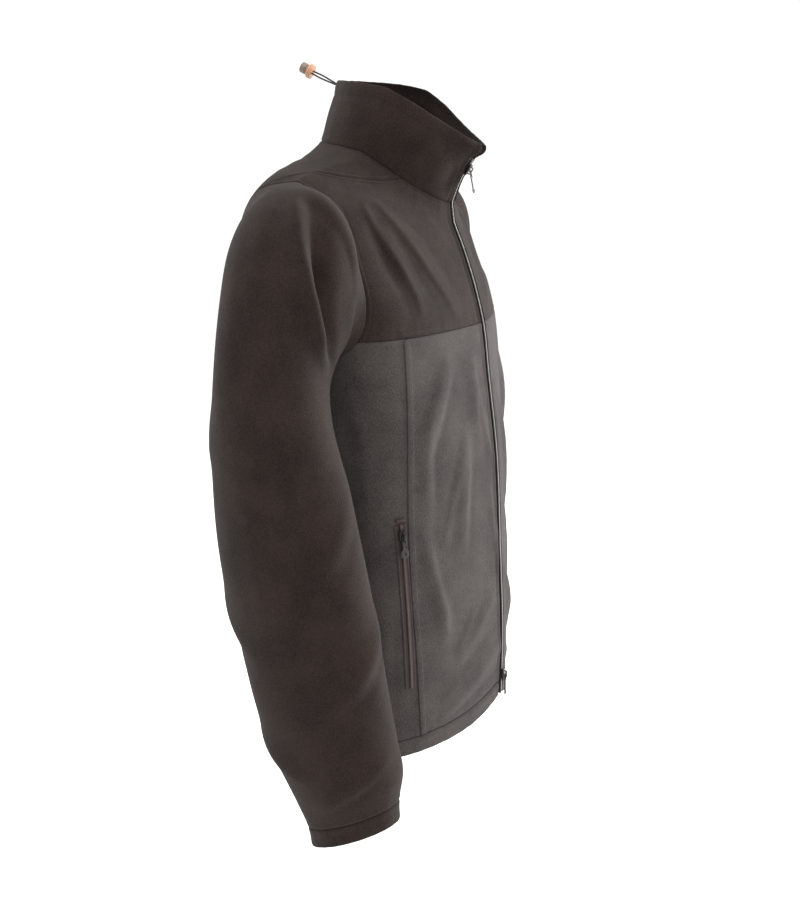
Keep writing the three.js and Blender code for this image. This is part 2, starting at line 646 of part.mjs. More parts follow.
// Front zip: tape and closed chain in one strip, from the hem to just below the collar's top
const ZIP_TOP_SHARE = 0.76;
const ZIP_STEPS = { trunk: 34, collar: 5 };
function zipPath() {
  const path = [];
  for (let i = ZIP_STEPS.collar; i > 0; i -= 1) {
    const p = collarBase(0, (ZIP_TOP_SHARE * i) / ZIP_STEPS.collar);
    path.push(new THREE.Vector3(0, p.y, p.z));
  }
  for (let i = 0; i <= ZIP_STEPS.trunk; i += 1) {
    const p = trunkBase(0, (END_DOWN * i) / ZIP_STEPS.trunk);
    path.push(new THREE.Vector3(0, p.y, p.z));
  }
  return path;
}

const zipLine = zipPath();
function zipFrame(at) {
  const i = Math.min(zipLine.length - 2, Math.floor(at));
  const p = zipLine[i].clone().lerp(zipLine[i + 1], at - i);
  const before = zipLine[Math.max(0, Math.round(at) - 1)];
  const after = zipLine[Math.min(zipLine.length - 1, Math.round(at) + 1)];
  const up = before.clone().sub(after).normalize();
  return { p, up, n: new THREE.Vector3(1, 0, 0).cross(up) };
}

const ZIP_SECTION = [
  [-ZIP_HALF, 0], [ZIP_HALF, 0], [ZIP_HALF, TAPE], [CHAIN_HALF, TAPE],
  [CHAIN_HALF, CHAIN_TOP], [-CHAIN_HALF, CHAIN_TOP], [-CHAIN_HALF, TAPE], [-ZIP_HALF, TAPE],
];
function sweep(frames, section) {
  const positions = [];
  for (const { p, n, across } of frames) {
    for (const [x, out] of section) {
      positions.push(...p.clone().addScaledVector(across, x).addScaledVector(n, out).toArray());
    }
  }
  const size = section.length;
  const index = [];
  for (let j = 0; j < frames.length - 1; j += 1) {
    for (let i = 0; i < size; i += 1) {
      const [a, b] = [j * size + i, j * size + ((i + 1) % size)];
      index.push(a, b, b + size, a, b + size, a + size);
    }
  }
  const contour = section.map(([x, y]) => new THREE.Vector2(x, y));
  const end = (frames.length - 1) * size;
  for (const [a, b, c] of THREE.ShapeUtils.triangulateShape(contour, [])) {
    index.push(a, c, b, end + a, end + b, end + c);
  }
  return facingOut(positions, index);
}

function frontZip() {
  const across = new THREE.Vector3(1, 0, 0);
  add('front-zip', sweep(zipLine.map((p, i) => ({ ...zipFrame(i), p, across })), ZIP_SECTION), ZIP_TAPE);
}

// Solids joined by booleans
function solid(geometry) {
  const bare = geometry.clone();
  for (const name of Object.keys(bare.attributes)) if (name !== 'position') bare.deleteAttribute(name);
  const merged = mergeVertices(bare, 1e-4);
  return new wasm.Manifold(new wasm.Mesh({
    numProp: 3,
    vertProperties: new Float32Array(merged.attributes.position.array),
    triVerts: new Uint32Array(merged.index.array),
  }));
}

function toGeometry(manifold) {
  const mesh = manifold.getMesh();
  const geometry = new THREE.BufferGeometry();
  geometry.setAttribute('position', new THREE.Float32BufferAttribute(mesh.vertProperties, 3));
  geometry.setIndex([...mesh.triVerts]);
  return geometry;
}

// Slider, in its own frame: X across, Y up the zip, Z out. The bail is an arch along Y
const SLIDER = { width: 9, length: 13, thick: 2.4, bailLength: 9, bailWidth: 2, bailRise: 3.4, bailWall: 1.1 };
const PULL = { thick: 1.2, axis: 1.35, window: 7.2, windowHalf: 1.45, arm: 1.0 };
function sliderGeometry() {
  const { width, length, thick } = SLIDER;
  const shape = new THREE.Shape();
  shape.moveTo(-width * 0.32, -length / 2);
  shape.lineTo(width * 0.32, -length / 2);
  shape.lineTo(width / 2, -length * 0.1);
  shape.lineTo(width / 2, length / 2 - 1.5);
  shape.lineTo(width / 2 - 1.5, length / 2);
  shape.lineTo(-width / 2 + 1.5, length / 2);
  shape.lineTo(-width / 2, length / 2 - 1.5);
  shape.lineTo(-width / 2, -length * 0.1);
  const body = new THREE.ExtrudeGeometry(shape, { depth: thick, bevelEnabled: false });
  const arch = new THREE.Shape();
  const { bailLength, bailRise, bailWall, bailWidth } = SLIDER;
  arch.moveTo(-bailLength / 2, -0.6);
  arch.lineTo(-bailLength / 2, bailRise - 1);
  arch.lineTo(-bailLength / 2 + 1, bailRise);
  arch.lineTo(bailLength / 2 - 1, bailRise);
  arch.lineTo(bailLength / 2, bailRise - 1);
  arch.lineTo(bailLength / 2, -0.6);
  arch.lineTo(bailLength / 2 - bailWall, -0.6);
  arch.lineTo(bailLength / 2 - bailWall, bailRise - bailWall);
  arch.lineTo(-bailLength / 2 + bailWall, bailRise - bailWall);
  arch.lineTo(-bailLength / 2 + bailWall, -0.6);
  const bail = new THREE.ExtrudeGeometry(arch, { depth: bailWidth, bevelEnabled: false });
  bail.translate(0, 0, -bailWidth / 2);
  bail.applyMatrix4(new THREE.Matrix4().makeBasis(
    new THREE.Vector3(0, 1, 0),
    new THREE.Vector3(0, 0, 1),
    new THREE.Vector3(1, 0, 0),
  ));
  bail.translate(0, 0, thick);
  return toGeometry(solid(body).add(solid(bail)));
}

// Pull tab, in its own frame: its crossbar's axis at the origin, hanging towards -Y, flat along Z
function pullGeometry(length, endHalf, holeRadius) {
  const { thick, window, windowHalf, arm } = PULL;
  const half = windowHalf + arm;
  const endY = -(length - endHalf);
  const shape = new THREE.Shape();
  shape.moveTo(-half, thick / 2);
  shape.lineTo(half, thick / 2);
  shape.lineTo(half, -window - 1.2);
  shape.lineTo(half * 0.72, -window - 2.4);
  shape.lineTo(half * 0.72, endY + endHalf * 1.2);
  shape.absarc(0, endY, endHalf, Math.PI * 0.2, -Math.PI * 1.2, true);
  shape.lineTo(-half * 0.72, endY + endHalf * 1.2);
  shape.lineTo(-half * 0.72, -window - 2.4);
  shape.lineTo(-half, -window - 1.2);
  const slot = new THREE.Path();
  slot.moveTo(-windowHalf, -thick / 2);
  slot.lineTo(-windowHalf, -window);
  slot.lineTo(windowHalf, -window);
  slot.lineTo(windowHalf, -thick / 2);
  const hole = new THREE.Path();
  hole.absarc(0, endY, holeRadius, 0, Math.PI * 2, false);
  shape.holes.push(slot, hole);
  const plate = new THREE.ExtrudeGeometry(shape, { depth: thick, bevelEnabled: false, curveSegments: 8 });
  plate.translate(0, 0, -thick / 2);
  return plate;
}

function basisAt({ p, n, up }, out) {
  const across = up.clone().cross(n).normalize();
  const straight = n.clone().cross(across).normalize();
  const matrix = new THREE.Matrix4().makeBasis(across, straight, n);
  return matrix.setPosition(p.clone().addScaledVector(n, out));
}

// A slider on a zip, and its pull turned about the crossbar by the angle at which it hangs
function sliderAndPull(name, frame, out, hang, pull) {
  const place = basisAt(frame, out + LAY_GAP);
  add(`${name}-slider`, sliderGeometry(), ZIP_PLASTIC, place);
  const turn = new THREE.Matrix4().makeRotationX(hang);
  turn.setPosition(0, 0, SLIDER.thick + PULL.axis);
  add(`${name}-pull`, pullGeometry(pull.length, pull.endHalf, pull.hole), ZIP_PLASTIC, place.clone().multiply(turn));
}

const TOP_SLIDER_AT = 1.0;
const LOW_SLIDER_AT = zipLine.length - 2.1;
const FRONT_PULL = { length: 25, endHalf: 2.9, hole: 1.5 };
const TOP_PULL_HANG = -0.77;
const LOW_PULL_HANG = -0.02;
function frontSliders() {
  sliderAndPull('front-top', zipFrame(TOP_SLIDER_AT), CHAIN_TOP, TOP_PULL_HANG, FRONT_PULL);
  sliderAndPull('front-low', zipFrame(LOW_SLIDER_AT), CHAIN_TOP, LOW_PULL_HANG, FRONT_PULL);
}

// Pocket zips: a tape with its chain on the side panel, just behind the princess seam
const POCKET = { top: 488, bottom: 660, uTop: 0.346, uBottom: 0.333, half: 6.5, slider: 500, steps: 14 };
const POCKET_OUT = CLOTH + LAY_GAP;
const POCKET_SECTION = [
  [-POCKET.half, 0], [POCKET.half, 0], [POCKET.half, 1.1], [2.6, 1.1],
  [2.6, 2.4], [-2.6, 2.4], [-2.6, 1.1], [-POCKET.half, 1.1],
];
const POCKET_PULL = { length: 24, endHalf: 5.2, hole: 1.9 };
const GARAGE = { above: 5, half: 5.5, height: 3.0 };
function pocketFrame(down, side) {
  const t = (down - POCKET.top) / (POCKET.bottom - POCKET.top);
  const u = side.sign * (POCKET.uTop + (POCKET.uBottom - POCKET.uTop) * t);
  const frame = trunkSkin(u, down);
  const across = frame.up.clone().cross(frame.n).normalize();
  return { ...frame, across };
}

function pocketZip(side) {
  const frames = curveLine((down) => pocketFrame(down, side), POCKET.top, POCKET.bottom, POCKET.steps);
  const lifted = frames.map((f) => ({ ...f, p: f.p.clone().addScaledVector(f.n, POCKET_OUT) }));
  add(`pocket-zip-${side.name}`, sweep(lifted, POCKET_SECTION), ZIP_TAPE);
  const chainTop = POCKET_OUT + 2.4;
  sliderAndPull(`pocket-${side.name}`, pocketFrame(POCKET.slider, side), chainTop, 0, POCKET_PULL);
  const garage = new THREE.BoxGeometry(2 * GARAGE.half, 2.4, GARAGE.height);
  garage.translate(0, 0, GARAGE.height / 2);
  add(`pocket-garage-${side.name}`, garage, ZIP_TAPE, basisAt(pocketFrame(POCKET.top - GARAGE.above, side), POCKET_OUT));
}

// Drawcord at the centre back of the collar: an eyelet, two strands and a spring toggle
const CORD_SIZE = { diameter: 2, sides: 8, spread: 3.2, length: 36 };
const CORD_EXIT = { u: 1, h: 0.90 };
const CORD_RISE = Math.PI * 25 / 180;
const cordWay = new THREE.Vector3(0, Math.cos(CORD_RISE), Math.sin(CORD_RISE));
const cordLift = new THREE.Vector3(0, -Math.sin(CORD_RISE), Math.cos(CORD_RISE));
const exitFrame = collarSkin(CORD_EXIT.u, CORD_EXIT.h);
const EYELET = { inner: 2.6, outer: 4.6, thick: 1.2 };
const eyeletFace = exitFrame.p.clone().addScaledVector(exitFrame.n, COLLAR_CLOTH + LAY_GAP);
const cordStart = eyeletFace.clone().addScaledVector(exitFrame.n, EYELET.thick / 2);

function latheAlong(profile, segments) {
  return new THREE.LatheGeometry(profile.map(([r, y]) => new THREE.Vector2(r, y)), segments);
}

function turnTo(way, point) {
  const turn = new THREE.Quaternion().setFromUnitVectors(new THREE.Vector3(0, 1, 0), way);
  return new THREE.Matrix4().compose(point, turn, new THREE.Vector3(1, 1, 1));
}

function eyelet() {
  const { inner, outer, thick } = EYELET;
  const ring = latheAlong([[inner, 0], [outer, 0], [outer, thick], [inner, thick], [inner, 0]], 16);
  add('cord-eyelet', ring, EYELET_METAL, turnTo(exitFrame.n, eyeletFace));
}

// The strands leave the eyelet's hole side by side, bow apart and meet the toggle's face
function strandPath(sign) {
  const lean = [0.75, 0.9, 1.0, 1.0];
  const height = [0, 0.9, 1.6, 1.2];
  return lean.map((spread, i) => {
    const t = i / (lean.length - 1);
    const p = cordStart.clone().addScaledVector(cordWay, CORD_SIZE.length * t);
    p.x += sign * CORD_SIZE.spread * spread * 0.5;
    return p.addScaledVector(cordLift, sign * height[i]);
  });
}

function strand(name, sign) {
  const path = new THREE.CatmullRomCurve3(strandPath(sign));
  const section = new THREE.Shape();
  section.absarc(0, 0, CORD_SIZE.diameter / 2, 0, Math.PI * 2, false);
  const settings = { steps: 8, bevelEnabled: false, extrudePath: path, curveSegments: CORD_SIZE.sides };
  add(name, new THREE.ExtrudeGeometry(section, settings), CORD);
}

const TOGGLE = { flange: 8.4, flangeLength: 5, barrel: 6.2, barrelLength: 9.5, round: 2.4 };
function toggle() {
  const start = cordStart.clone().addScaledVector(cordWay, CORD_SIZE.length + LAY_GAP + 0.1);
  const { flange, flangeLength, barrel, barrelLength, round } = TOGGLE;
  const plunger = latheAlong([
    [0, 0], [flange - 1, 0], [flange, 1], [flange, flangeLength - 1], [flange - 1, flangeLength], [0, flangeLength],
  ], 18);
  add('toggle-plunger', plunger, TOGGLE_TAN, turnTo(cordWay, start));
  const housing = latheAlong([
    [0, 0], [barrel, 0], [barrel, barrelLength - round], [barrel - 0.7, barrelLength - 0.7],
    [barrel - round, barrelLength], [0, barrelLength],
  ], 18);
  const behind = start.clone().addScaledVector(cordWay, flangeLength + LAY_GAP);
  add('toggle-housing', housing, TOGGLE_GREY, turnTo(cordWay, behind));
}

collar();
for (const side of SIDES) {
  frontYoke(side);
  frontPanel(side);
  sidePanel(side);
  princessBand(side);
  tube(`sleeve-${side.name}`, sleeveStations, CLOTH, side, { top: true, bottom: true });
  tube(`cuff-${side.name}`, [SLEEVE_END, (SLEEVE_END + CUFF_END) / 2, CUFF_END], CLOTH, side, { top: true });
  pocketZip(side);
}
backYoke();
backPanel();
hem();
frontZip();
frontSliders();
eyelet();
strand('cord-strand-upper', 1);
strand('cord-strand-lower', -1);
toggle();

export default jacket;
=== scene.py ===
# %% [markdown]
# # A fleece zip jacket, kept in the shape in which it is worn
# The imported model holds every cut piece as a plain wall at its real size. This lesson dresses it: each
# piece of cloth becomes a fine shell on the same form, with its creases, seams and nap, and the zips
# get their teeth. All shapes are worked out in millimetres and turned into metres when a mesh is made.

# %% Load the frame
import math

import bmesh
import bpy
import numpy as np
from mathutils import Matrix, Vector
from mathutils.kdtree import KDTree


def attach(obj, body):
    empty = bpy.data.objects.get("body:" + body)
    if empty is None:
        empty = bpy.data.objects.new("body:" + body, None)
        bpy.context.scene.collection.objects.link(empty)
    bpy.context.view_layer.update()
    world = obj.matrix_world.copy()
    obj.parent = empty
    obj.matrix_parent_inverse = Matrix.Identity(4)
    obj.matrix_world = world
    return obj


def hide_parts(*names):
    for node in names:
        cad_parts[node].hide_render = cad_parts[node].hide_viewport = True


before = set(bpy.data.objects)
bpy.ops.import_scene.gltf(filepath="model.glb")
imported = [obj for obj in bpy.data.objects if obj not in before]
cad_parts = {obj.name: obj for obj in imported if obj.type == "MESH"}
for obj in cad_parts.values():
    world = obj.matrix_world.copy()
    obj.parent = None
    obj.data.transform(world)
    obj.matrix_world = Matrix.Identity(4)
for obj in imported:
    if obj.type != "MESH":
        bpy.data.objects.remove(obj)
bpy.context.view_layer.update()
MM = 0.001
CLOTHING = "jacket"
print("nodes in the frame:", len(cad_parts))

# %% [markdown]
# ## The form of the cloth
# A garment is drawn from sections. Each row below is the body's outline at one distance down the cloth
# from the neck seam: half-width, depth and height at the front, side and back, and how square it is.
# A place on the body is a pair: u runs round it, 0 at the front and 1 at the back, minus on the
# wearer's right, and down is millimetres of cloth. Working in places keeps every seam, crease and
# stitch on the cloth, however the form bends.

# %% Sections of the body, the collar and the sleeve
def table(names, rows):
    return {name: np.array([row[i] for row in rows], float) for i, name in enumerate(names.split())}


SECTION = "half yF yS yB zF zS zB prow mF mB kF kB"
BODY = table("down " + SECTION, [
    (0, 78, -69, 3, 77, -52, 1, 15, 0.10, 2.0, 2.0, 1.1, 0.60),
    (28, 104, -70, 13, 86, -62, -6, 2, 0.30, 2.3, 2.2, 1.0, 0.75),
    (66, 142, -71, 26, 97, -70, -14, -10, 0.42, 2.6, 2.5, 1.0, 0.90),
    (104, 178, -72, 37, 108, -76, -21, -26, 0.50, 2.9, 2.9, 1.0, 1.0),
    (134, 200, -75, 42, 114, -84, -32, -46, 0.52, 3.3, 3.4, 1.0, 1.0),
    (162, 208, -80, 42, 118, -96, -58, -70, 0.50, 3.8, 4.2, 1.0, 1.0),
    (200, 210, -88, 40, 120, -118, -98, -104, 0.44, 4.2, 4.2, 1.0, 1.0),
    (245, 210, -98, 36, 119, -150, -145, -146, 0.28, 4.5, 3.9, 1.0, 1.0),
    (286, 209, -107, 31, 119, -187, -187, -187, 0.28, 4.5, 3.6, 1.0, 1.0),
    (350, 206, -114, 22, 115, -246, -250, -250, 0.28, 4.5, 3.2, 1.0, 1.0),
    (435, 202, -124, 12, 109, -330, -335, -337, 0.36, 4.5, 3.0, 1.1, 1.0),
    (555, 200, -130, 4, 104, -450, -456, -462, 0.38, 4.5, 2.8, 1.4, 1.0),
    (660, 204, -134, 0, 102, -554, -573, -578, 0.41, 4.5, 2.7, 2.6, 1.0),
    (732, 206, -133, -2, 97, -624, -646, -652, 0.44, 4.5, 2.6, 14, 1.0),
])
COLLAR_TOP = dict(zip(SECTION.split(), (71, -106, -22, 57.5, 12, 71.5, 82, 0.45, 2.2, 2.0, 1.2, 0.5)))
ARMHOLE = np.array([
    (0.519, 118), (0.622, 132), (0.631, 203), (0.614, 286), (0.505, 311), (0.390, 286), (0.363, 223),
    (0.398, 136),
])
SLEEVE = table("w xI zI xO zO yF yB tilt m", [
    (14, 213, -214, 221, -28, -38, 97, 0, 2.3),
    (40, 214, -218, 252, -40, -37, 93.5, 0, 2.3),
    (75, 214, -224, 285, -66, -32, 90.5, 0, 2.3),
    (115, 214, -236, 312, -108, -26, 87.5, 0, 2.3),
    (160, 214, -254, 328, -160, -21, 88.5, 0, 2.2),
    (215, 214, -285, 336, -222, -25, 91.5, 0, 2.1),
    (285, 214, -335, 337, -302, -42, 94.5, 0, 2.0),
    (370, 214, -415, 335, -397, -61, 89, 0.03, 2.0),
    (455, 214, -493, 333, -485, -76, 68.5, 0.08, 2.0),
    (530, 215, -563, 330, -558, -87, 49.5, 0.16, 2.0),
    (592, 216, -616, 327, -614, -96, 25.5, 0.25, 2.0),
    (640, 221, -652, 322, -650, -102, 6, 0.33, 2.0),
    (668, 227, -678, 313, -677, -98, -4, 0.36, 2.0),
    (698, 229, -706, 311, -705, -99, -9, 0.36, 2.0),
])
LEFT_SWING = table("w back", [
    (0, 0), (14, 12), (40, 21), (75, 25), (115, 25), (160, 21), (215, 17), (285, 15), (370, 23),
    (455, 37), (530, 47), (592, 57), (640, 63), (668, 63), (698, 63),
])
PRINCESS = table("down u", [
    (286, 0.290), (354, 0.301), (430, 0.313), (490, 0.320), (572, 0.319), (636, 0.311), (732, 0.296),
])
TURN = {"top_back": 0.125, "low_back": 0.375, "low_front": 0.625}
YOKE_DOWN, HEM_DOWN, END_DOWN = 286, 714, 732
SIDE_BACK, NECK_SHOULDER = 0.68, 0.33
SLEEVE_END, CUFF_END = 668, 690
CLOTH, COLLAR_CLOTH, HEM_CLOTH = 2.0, 3.0, 2.8
ZIP_HALF, SEAM_GAP = 7.0, 0.5

# %% [markdown]
# ### Smooth curves and surfaces
# Each column is joined by a cubic whose slopes come from the neighbouring rows, so a few rows give a
# smooth form. numpy works out whole grids of places at once, which is why every function takes arrays.

# %% Surfaces
def smooth(xs, ys, at):
    """Value of rows ys, given at xs, for each entry of at. Rows may hold one point for each entry."""
    steps = np.diff(xs)
    per_entry = ys.ndim > 1
    spread = steps[:, None, None] if per_entry else steps
    secants = np.diff(ys, axis=0) / spread
    slope = np.empty_like(ys, float)
    slope[0], slope[-1] = secants[0], secants[-1]
    slope[1:-1] = (secants[:-1] * spread[1:] + secants[1:] * spread[:-1]) / (spread[1:] + spread[:-1])
    i = np.clip(np.searchsorted(xs, at, side="right") - 1, 0, len(xs) - 2)
    t = (at - xs[i]) / steps[i]
    h = steps[i]
    entry = np.arange(len(at))
    pick = (lambda rows, k: rows[k, entry]) if per_entry else (lambda rows, k: rows[k])
    if per_entry:
        t, h = t[:, None], h[:, None]
    value = (2 * t**3 - 3 * t**2 + 1) * pick(ys, i) + (3 * t**2 - 2 * t**3) * pick(ys, i + 1)
    return value + (t**3 - 2 * t**2 + t) * h * pick(slope, i) + (t**3 - t**2) * h * pick(slope, i + 1)


XI = np.sin(np.linspace(0, math.pi / 2, 65))


def section_point(section, u):
    """Points at places u round sections, each column of section an array as long as u."""
    u = np.where(u > 1, u - 2, u)
    a = np.abs(u)
    front = a <= 0.5
    share = np.where(front, 2 * a, 2 - 2 * a)
    prow = np.where(front, section["prow"], 0)[:, None]
    m = np.where(front, section["mF"], section["mB"])[:, None]
    y_centre = np.where(front, section["yF"], section["yB"])
    round_part = 1 - np.maximum(0, 1 - XI**m) ** (1 / m)
    depth = prow * XI**1.3 + (1 - prow) * round_part
    ys = y_centre[:, None] + (section["yS"] - y_centre)[:, None] * depth
    xs = section["half"][:, None] * XI
    run = np.zeros_like(xs)
    run[:, 1:] = np.cumsum(np.hypot(np.diff(xs), np.diff(ys)), axis=1)
    goal = share * run[:, -1]
    i = np.clip((run < goal[:, None]).sum(axis=1) - 1, 0, len(XI) - 2)
    n = np.arange(len(u))
    t = (goal - run[n, i]) / (run[n, i + 1] - run[n, i])
    x = xs[n, i] + t * (xs[n, i + 1] - xs[n, i])
    y = ys[n, i] + t * (ys[n, i + 1] - ys[n, i])
    w = np.clip((y - section["yS"]) / (y_centre - section["yS"]), 0, 1)
    level = np.where(front, section["zF"], section["zB"])
    z = section["zS"] + (level - section["zS"]) * w ** np.where(front, section["kF"], section["kB"])
    return np.stack([np.where(u < 0, -x, x), y, z], axis=-1)


def on_grid(surface):
    """Lets a surface written for flat lists of places take grids and single numbers."""
    def call(a, b, *rest):
        a, b = np.broadcast_arrays(np.asarray(a, float), np.asarray(b, float))
        return surface(a.ravel(), b.ravel(), *rest).reshape(a.shape + (3,))
    return call


def unit(v):
    return v / np.maximum(np.linalg.norm(v, axis=-1, keepdims=True), 1e-9)


def body_columns(down):
    return {name: smooth(BODY["down"], BODY[name], down) for name in BODY if name != "down"}


@on_grid
def body_base(u, down):
    return section_point(body_columns(down), u)


def normal_of(surface, a, b, da, db):
    along_a = surface(a + da, b) - surface(a - da, b)
    along_b = surface(a, b + db) - surface(a, b - db)
    return unit(np.cross(along_b, along_a))


def body_normal(u, down):
    return normal_of(body_base, u, np.clip(down, 0.5, END_DOWN - 0.5), 0.003, 0.5)


def armhole(turn):
    """The armhole's place, as (u, down), at each turn round it from the top."""
    at = (np.asarray(turn, float) % 1) * len(ARMHOLE)
    i = np.floor(at).astype(int)
    t = (at - i)[..., None]
    a, b, c, d = (ARMHOLE[(i + k) % len(ARMHOLE)] for k in (-1, 0, 1, 2))
    return b + 0.5 * t * (c - a + t * (2 * a - 5 * b + 4 * c - d + t * (3 * (b - c) + d - a)))


@on_grid
def sleeve_base(turn, w, side):
    seam = armhole(turn)
    angle = turn * 2 * math.pi
    cos, sin = np.cos(angle), np.sin(angle)
    rows = [body_base(seam[:, 0], seam[:, 1])]
    for k in range(len(SLEEVE["w"])):
        row = {name: SLEEVE[name][k] for name in SLEEVE}
        out = np.sign(cos) * np.abs(cos) ** (2 / row["m"])
        back = np.sign(sin) * np.abs(sin) ** (2 / row["m"])
        deep = (row["yB"] - row["yF"]) / 2
        rows.append(np.stack([
            (row["xO"] + row["xI"]) / 2 + (row["xO"] - row["xI"]) / 2 * out,
            (row["yF"] + row["yB"]) / 2 + deep * back,
            (row["zO"] + row["zI"]) / 2 + (row["zO"] - row["zI"]) / 2 * out - row["tilt"] * deep * back,
        ], axis=-1))
    points = smooth(np.concatenate([[0], SLEEVE["w"]]), np.stack(rows), w)
    if side == "left":
        points[:, 1] += smooth(LEFT_SWING["w"], LEFT_SWING["back"], w)
    return points


def sleeve_normal(turn, w, side):
    n = normal_of(lambda a, b: sleeve_base(a, b, side), turn, np.clip(w, 6, CUFF_END - 0.5), 0.004, 0.5)
    seam = armhole(turn)
    near = np.clip(1 - w / 10, 0, 1)[..., None]
    return unit(n * (1 - near) + body_normal(seam[..., 0], seam[..., 1]) * near)


COLLAR_BULGE = {"front": -5, "side": 2.5, "back": -1.5, "front_reach": 0.16, "back_reach": 0.25}
COLLAR_ROLL = {"out": 5, "h": 0.905, "tall": 0.07, "reach": 0.12}
COLLAR_FAR_DROP, COLLAR_MIDDLE_Y = 10, -8


@on_grid
def collar_base(u, h):
    ones = np.ones_like(u)
    low = section_point(body_columns(0 * ones), u)
    high = section_point({name: value * ones for name, value in COLLAR_TOP.items()}, u)
    place = np.where(u > 1, u - 2, u)
    high[:, 2] -= np.where(place > 0, COLLAR_FAR_DROP * np.exp(-(((place - 0.3) / 0.2) ** 2)), 0)
    p = low + (high - low) * h[:, None]
    away = unit(np.stack([p[:, 0], p[:, 1] - COLLAR_MIDDLE_Y, 0 * u], axis=-1))
    at, roll = COLLAR_BULGE, COLLAR_ROLL
    near_front = np.exp(-((place / at["front_reach"]) ** 2))
    near_back = np.exp(-(((1 - np.abs(place)) / at["back_reach"]) ** 2))
    bulge = at["side"] + (at["front"] - at["side"]) * near_front + (at["back"] - at["side"]) * near_back
    from_roll = np.hypot(place / roll["reach"], (h - roll["h"]) / roll["tall"])
    out = bulge * np.sin(math.pi * h) + roll["out"] * np.exp(-from_roll**2)
    return p + away * out[:, None]


def collar_normal(u, h):
    return -normal_of(collar_base, u, np.clip(h, 0.01, 0.99), 0.004, 0.01)


print("neck seam at the front, in mm:", body_base(0, 0).round(1))
print("top of the collar at the back, in mm:", collar_base(1, 1).round(1))

# %% [markdown]
# ## The camera
# The photograph looks at the wearer's right side from a little in front and a little above. One
# perspective camera was fitted to the outline: its compass angle, how far it looks down, its distance
# and its lens. The lens follows from the picture's height, because Blender measures it on the long side.

# %% Camera
PICTURE_HEIGHT = 914
CAMERA = {"azimuth": -71, "down": 11.5, "away": 2.0, "aside": 0.0092, "height": 0.057, "focal_px": 1739}


def make_camera():
    turn = math.radians(CAMERA["azimuth"])
    back = (math.sin(turn), -math.cos(turn))
    right = (math.cos(turn), math.sin(turn))
    data = bpy.data.cameras.new("camera")
    data.lens = CAMERA["focal_px"] / PICTURE_HEIGHT * data.sensor_width
    camera = bpy.data.objects.new("camera", data)
    camera.location = [back[i] * CAMERA["away"] + right[i] * CAMERA["aside"] for i in (0, 1)] + [CAMERA["height"]]
    camera.rotation_euler = (math.radians(90 - CAMERA["down"]), 0, turn)
    bpy.context.collection.objects.link(camera)
    bpy.context.scene.camera = camera
    return camera


print("lens:", round(make_camera().data.lens, 1), "mm")

# %% [markdown]
# ## Meshes from grids
# A piece of cloth is a grid of points on its outer face and the same grid on its inner face, closed
# round the edge. One function turns the two grids into a mesh, and one gives a piece its finish and its
# body. Ready objects sit at the origin, with their place in their mesh.

# %% Mesh helpers
def new_piece(name, points, faces, smooth_faces=True):
    mesh = bpy.data.meshes.new(name)
    mesh.from_pydata((np.asarray(points) * MM).tolist(), [], faces)
    mesh.validate()
    if smooth_faces:
        mesh.shade_smooth()
    piece = bpy.data.objects.new(name, mesh)
    bpy.context.collection.objects.link(piece)
    return piece


def grid_faces(rows, columns, wrap):
    j, i = np.meshgrid(np.arange(rows - 1), np.arange(columns if wrap else columns - 1), indexing="ij")
    k = (i + 1) % columns
    row, below = j * columns, (j + 1) * columns
    return np.stack([row + i, row + k, below + k, below + i], -1).reshape(-1, 4)


def shell(name, outer, inner, wrap=False):
    """Closed mesh between two grids of points. wrap joins the last column to the first."""
    rows, columns = outer.shape[:2]
    points = np.concatenate([outer.reshape(-1, 3), inner.reshape(-1, 3)])
    top = grid_faces(rows, columns, wrap)
    count = rows * columns
    faces = [top, top[:, ::-1] + count]
    rims = [np.arange(columns), (rows - 1) * columns + np.arange(columns)[::-1]]
    if wrap:
        rims = [np.append(rim, rim[0]) for rim in rims]
    else:
        rims += [np.arange(rows)[::-1] * columns, np.arange(rows) * columns + columns - 1]
    for rim in rims:
        faces.append(np.stack([rim[1:], rim[:-1], rim[:-1] + count, rim[1:] + count], -1))
    faces = np.concatenate(faces)
    a, b, c = (points[faces[:, k]] for k in (0, 1, 2))
    d = points[faces[:, 3]]
    volume = (a * np.cross(b, c)).sum() + (a * np.cross(c, d)).sum()
    if volume < 0:
        faces = faces[:, ::-1]
    return new_piece(name, points, faces.tolist())


def dress(piece, material, nodes=(), body=CLOTHING):
    piece.data.materials.clear()
    piece.data.materials.append(material)
    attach(piece, body)
    if nodes:
        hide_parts(*nodes)
    return piece


# %% [markdown]
# ## Shader maths
# A material is a small program. This class wraps a node's output, so that ordinary expressions such
# as `1 - mask` or `low + (high - low) * noise` add the Math nodes that work them out.

# %% Operators on sockets
class Value:
    def __init__(self, graph, socket):
        self.graph, self.socket = graph, socket

    def math(self, operation, *values):
        return self.graph.node("ShaderNodeMath", {"operation": operation}, values)

    def __add__(self, other):
        return self.math("ADD", self, other)

    def __sub__(self, other):
        return self.math("SUBTRACT", self, other)

    def __rsub__(self, other):
        return self.math("SUBTRACT", other, self)

    def __mul__(self, other):
        return self.math("MULTIPLY", self, other)

    def between(self, low, high):
        """0 below low, 1 above high, and smooth in between."""
        settings = {"interpolation_type": "SMOOTHSTEP"}
        return self.graph.node("ShaderNodeMapRange", settings, {"Value": self, "From Min": low, "From Max": high})

    __radd__, __rmul__ = __add__, __mul__


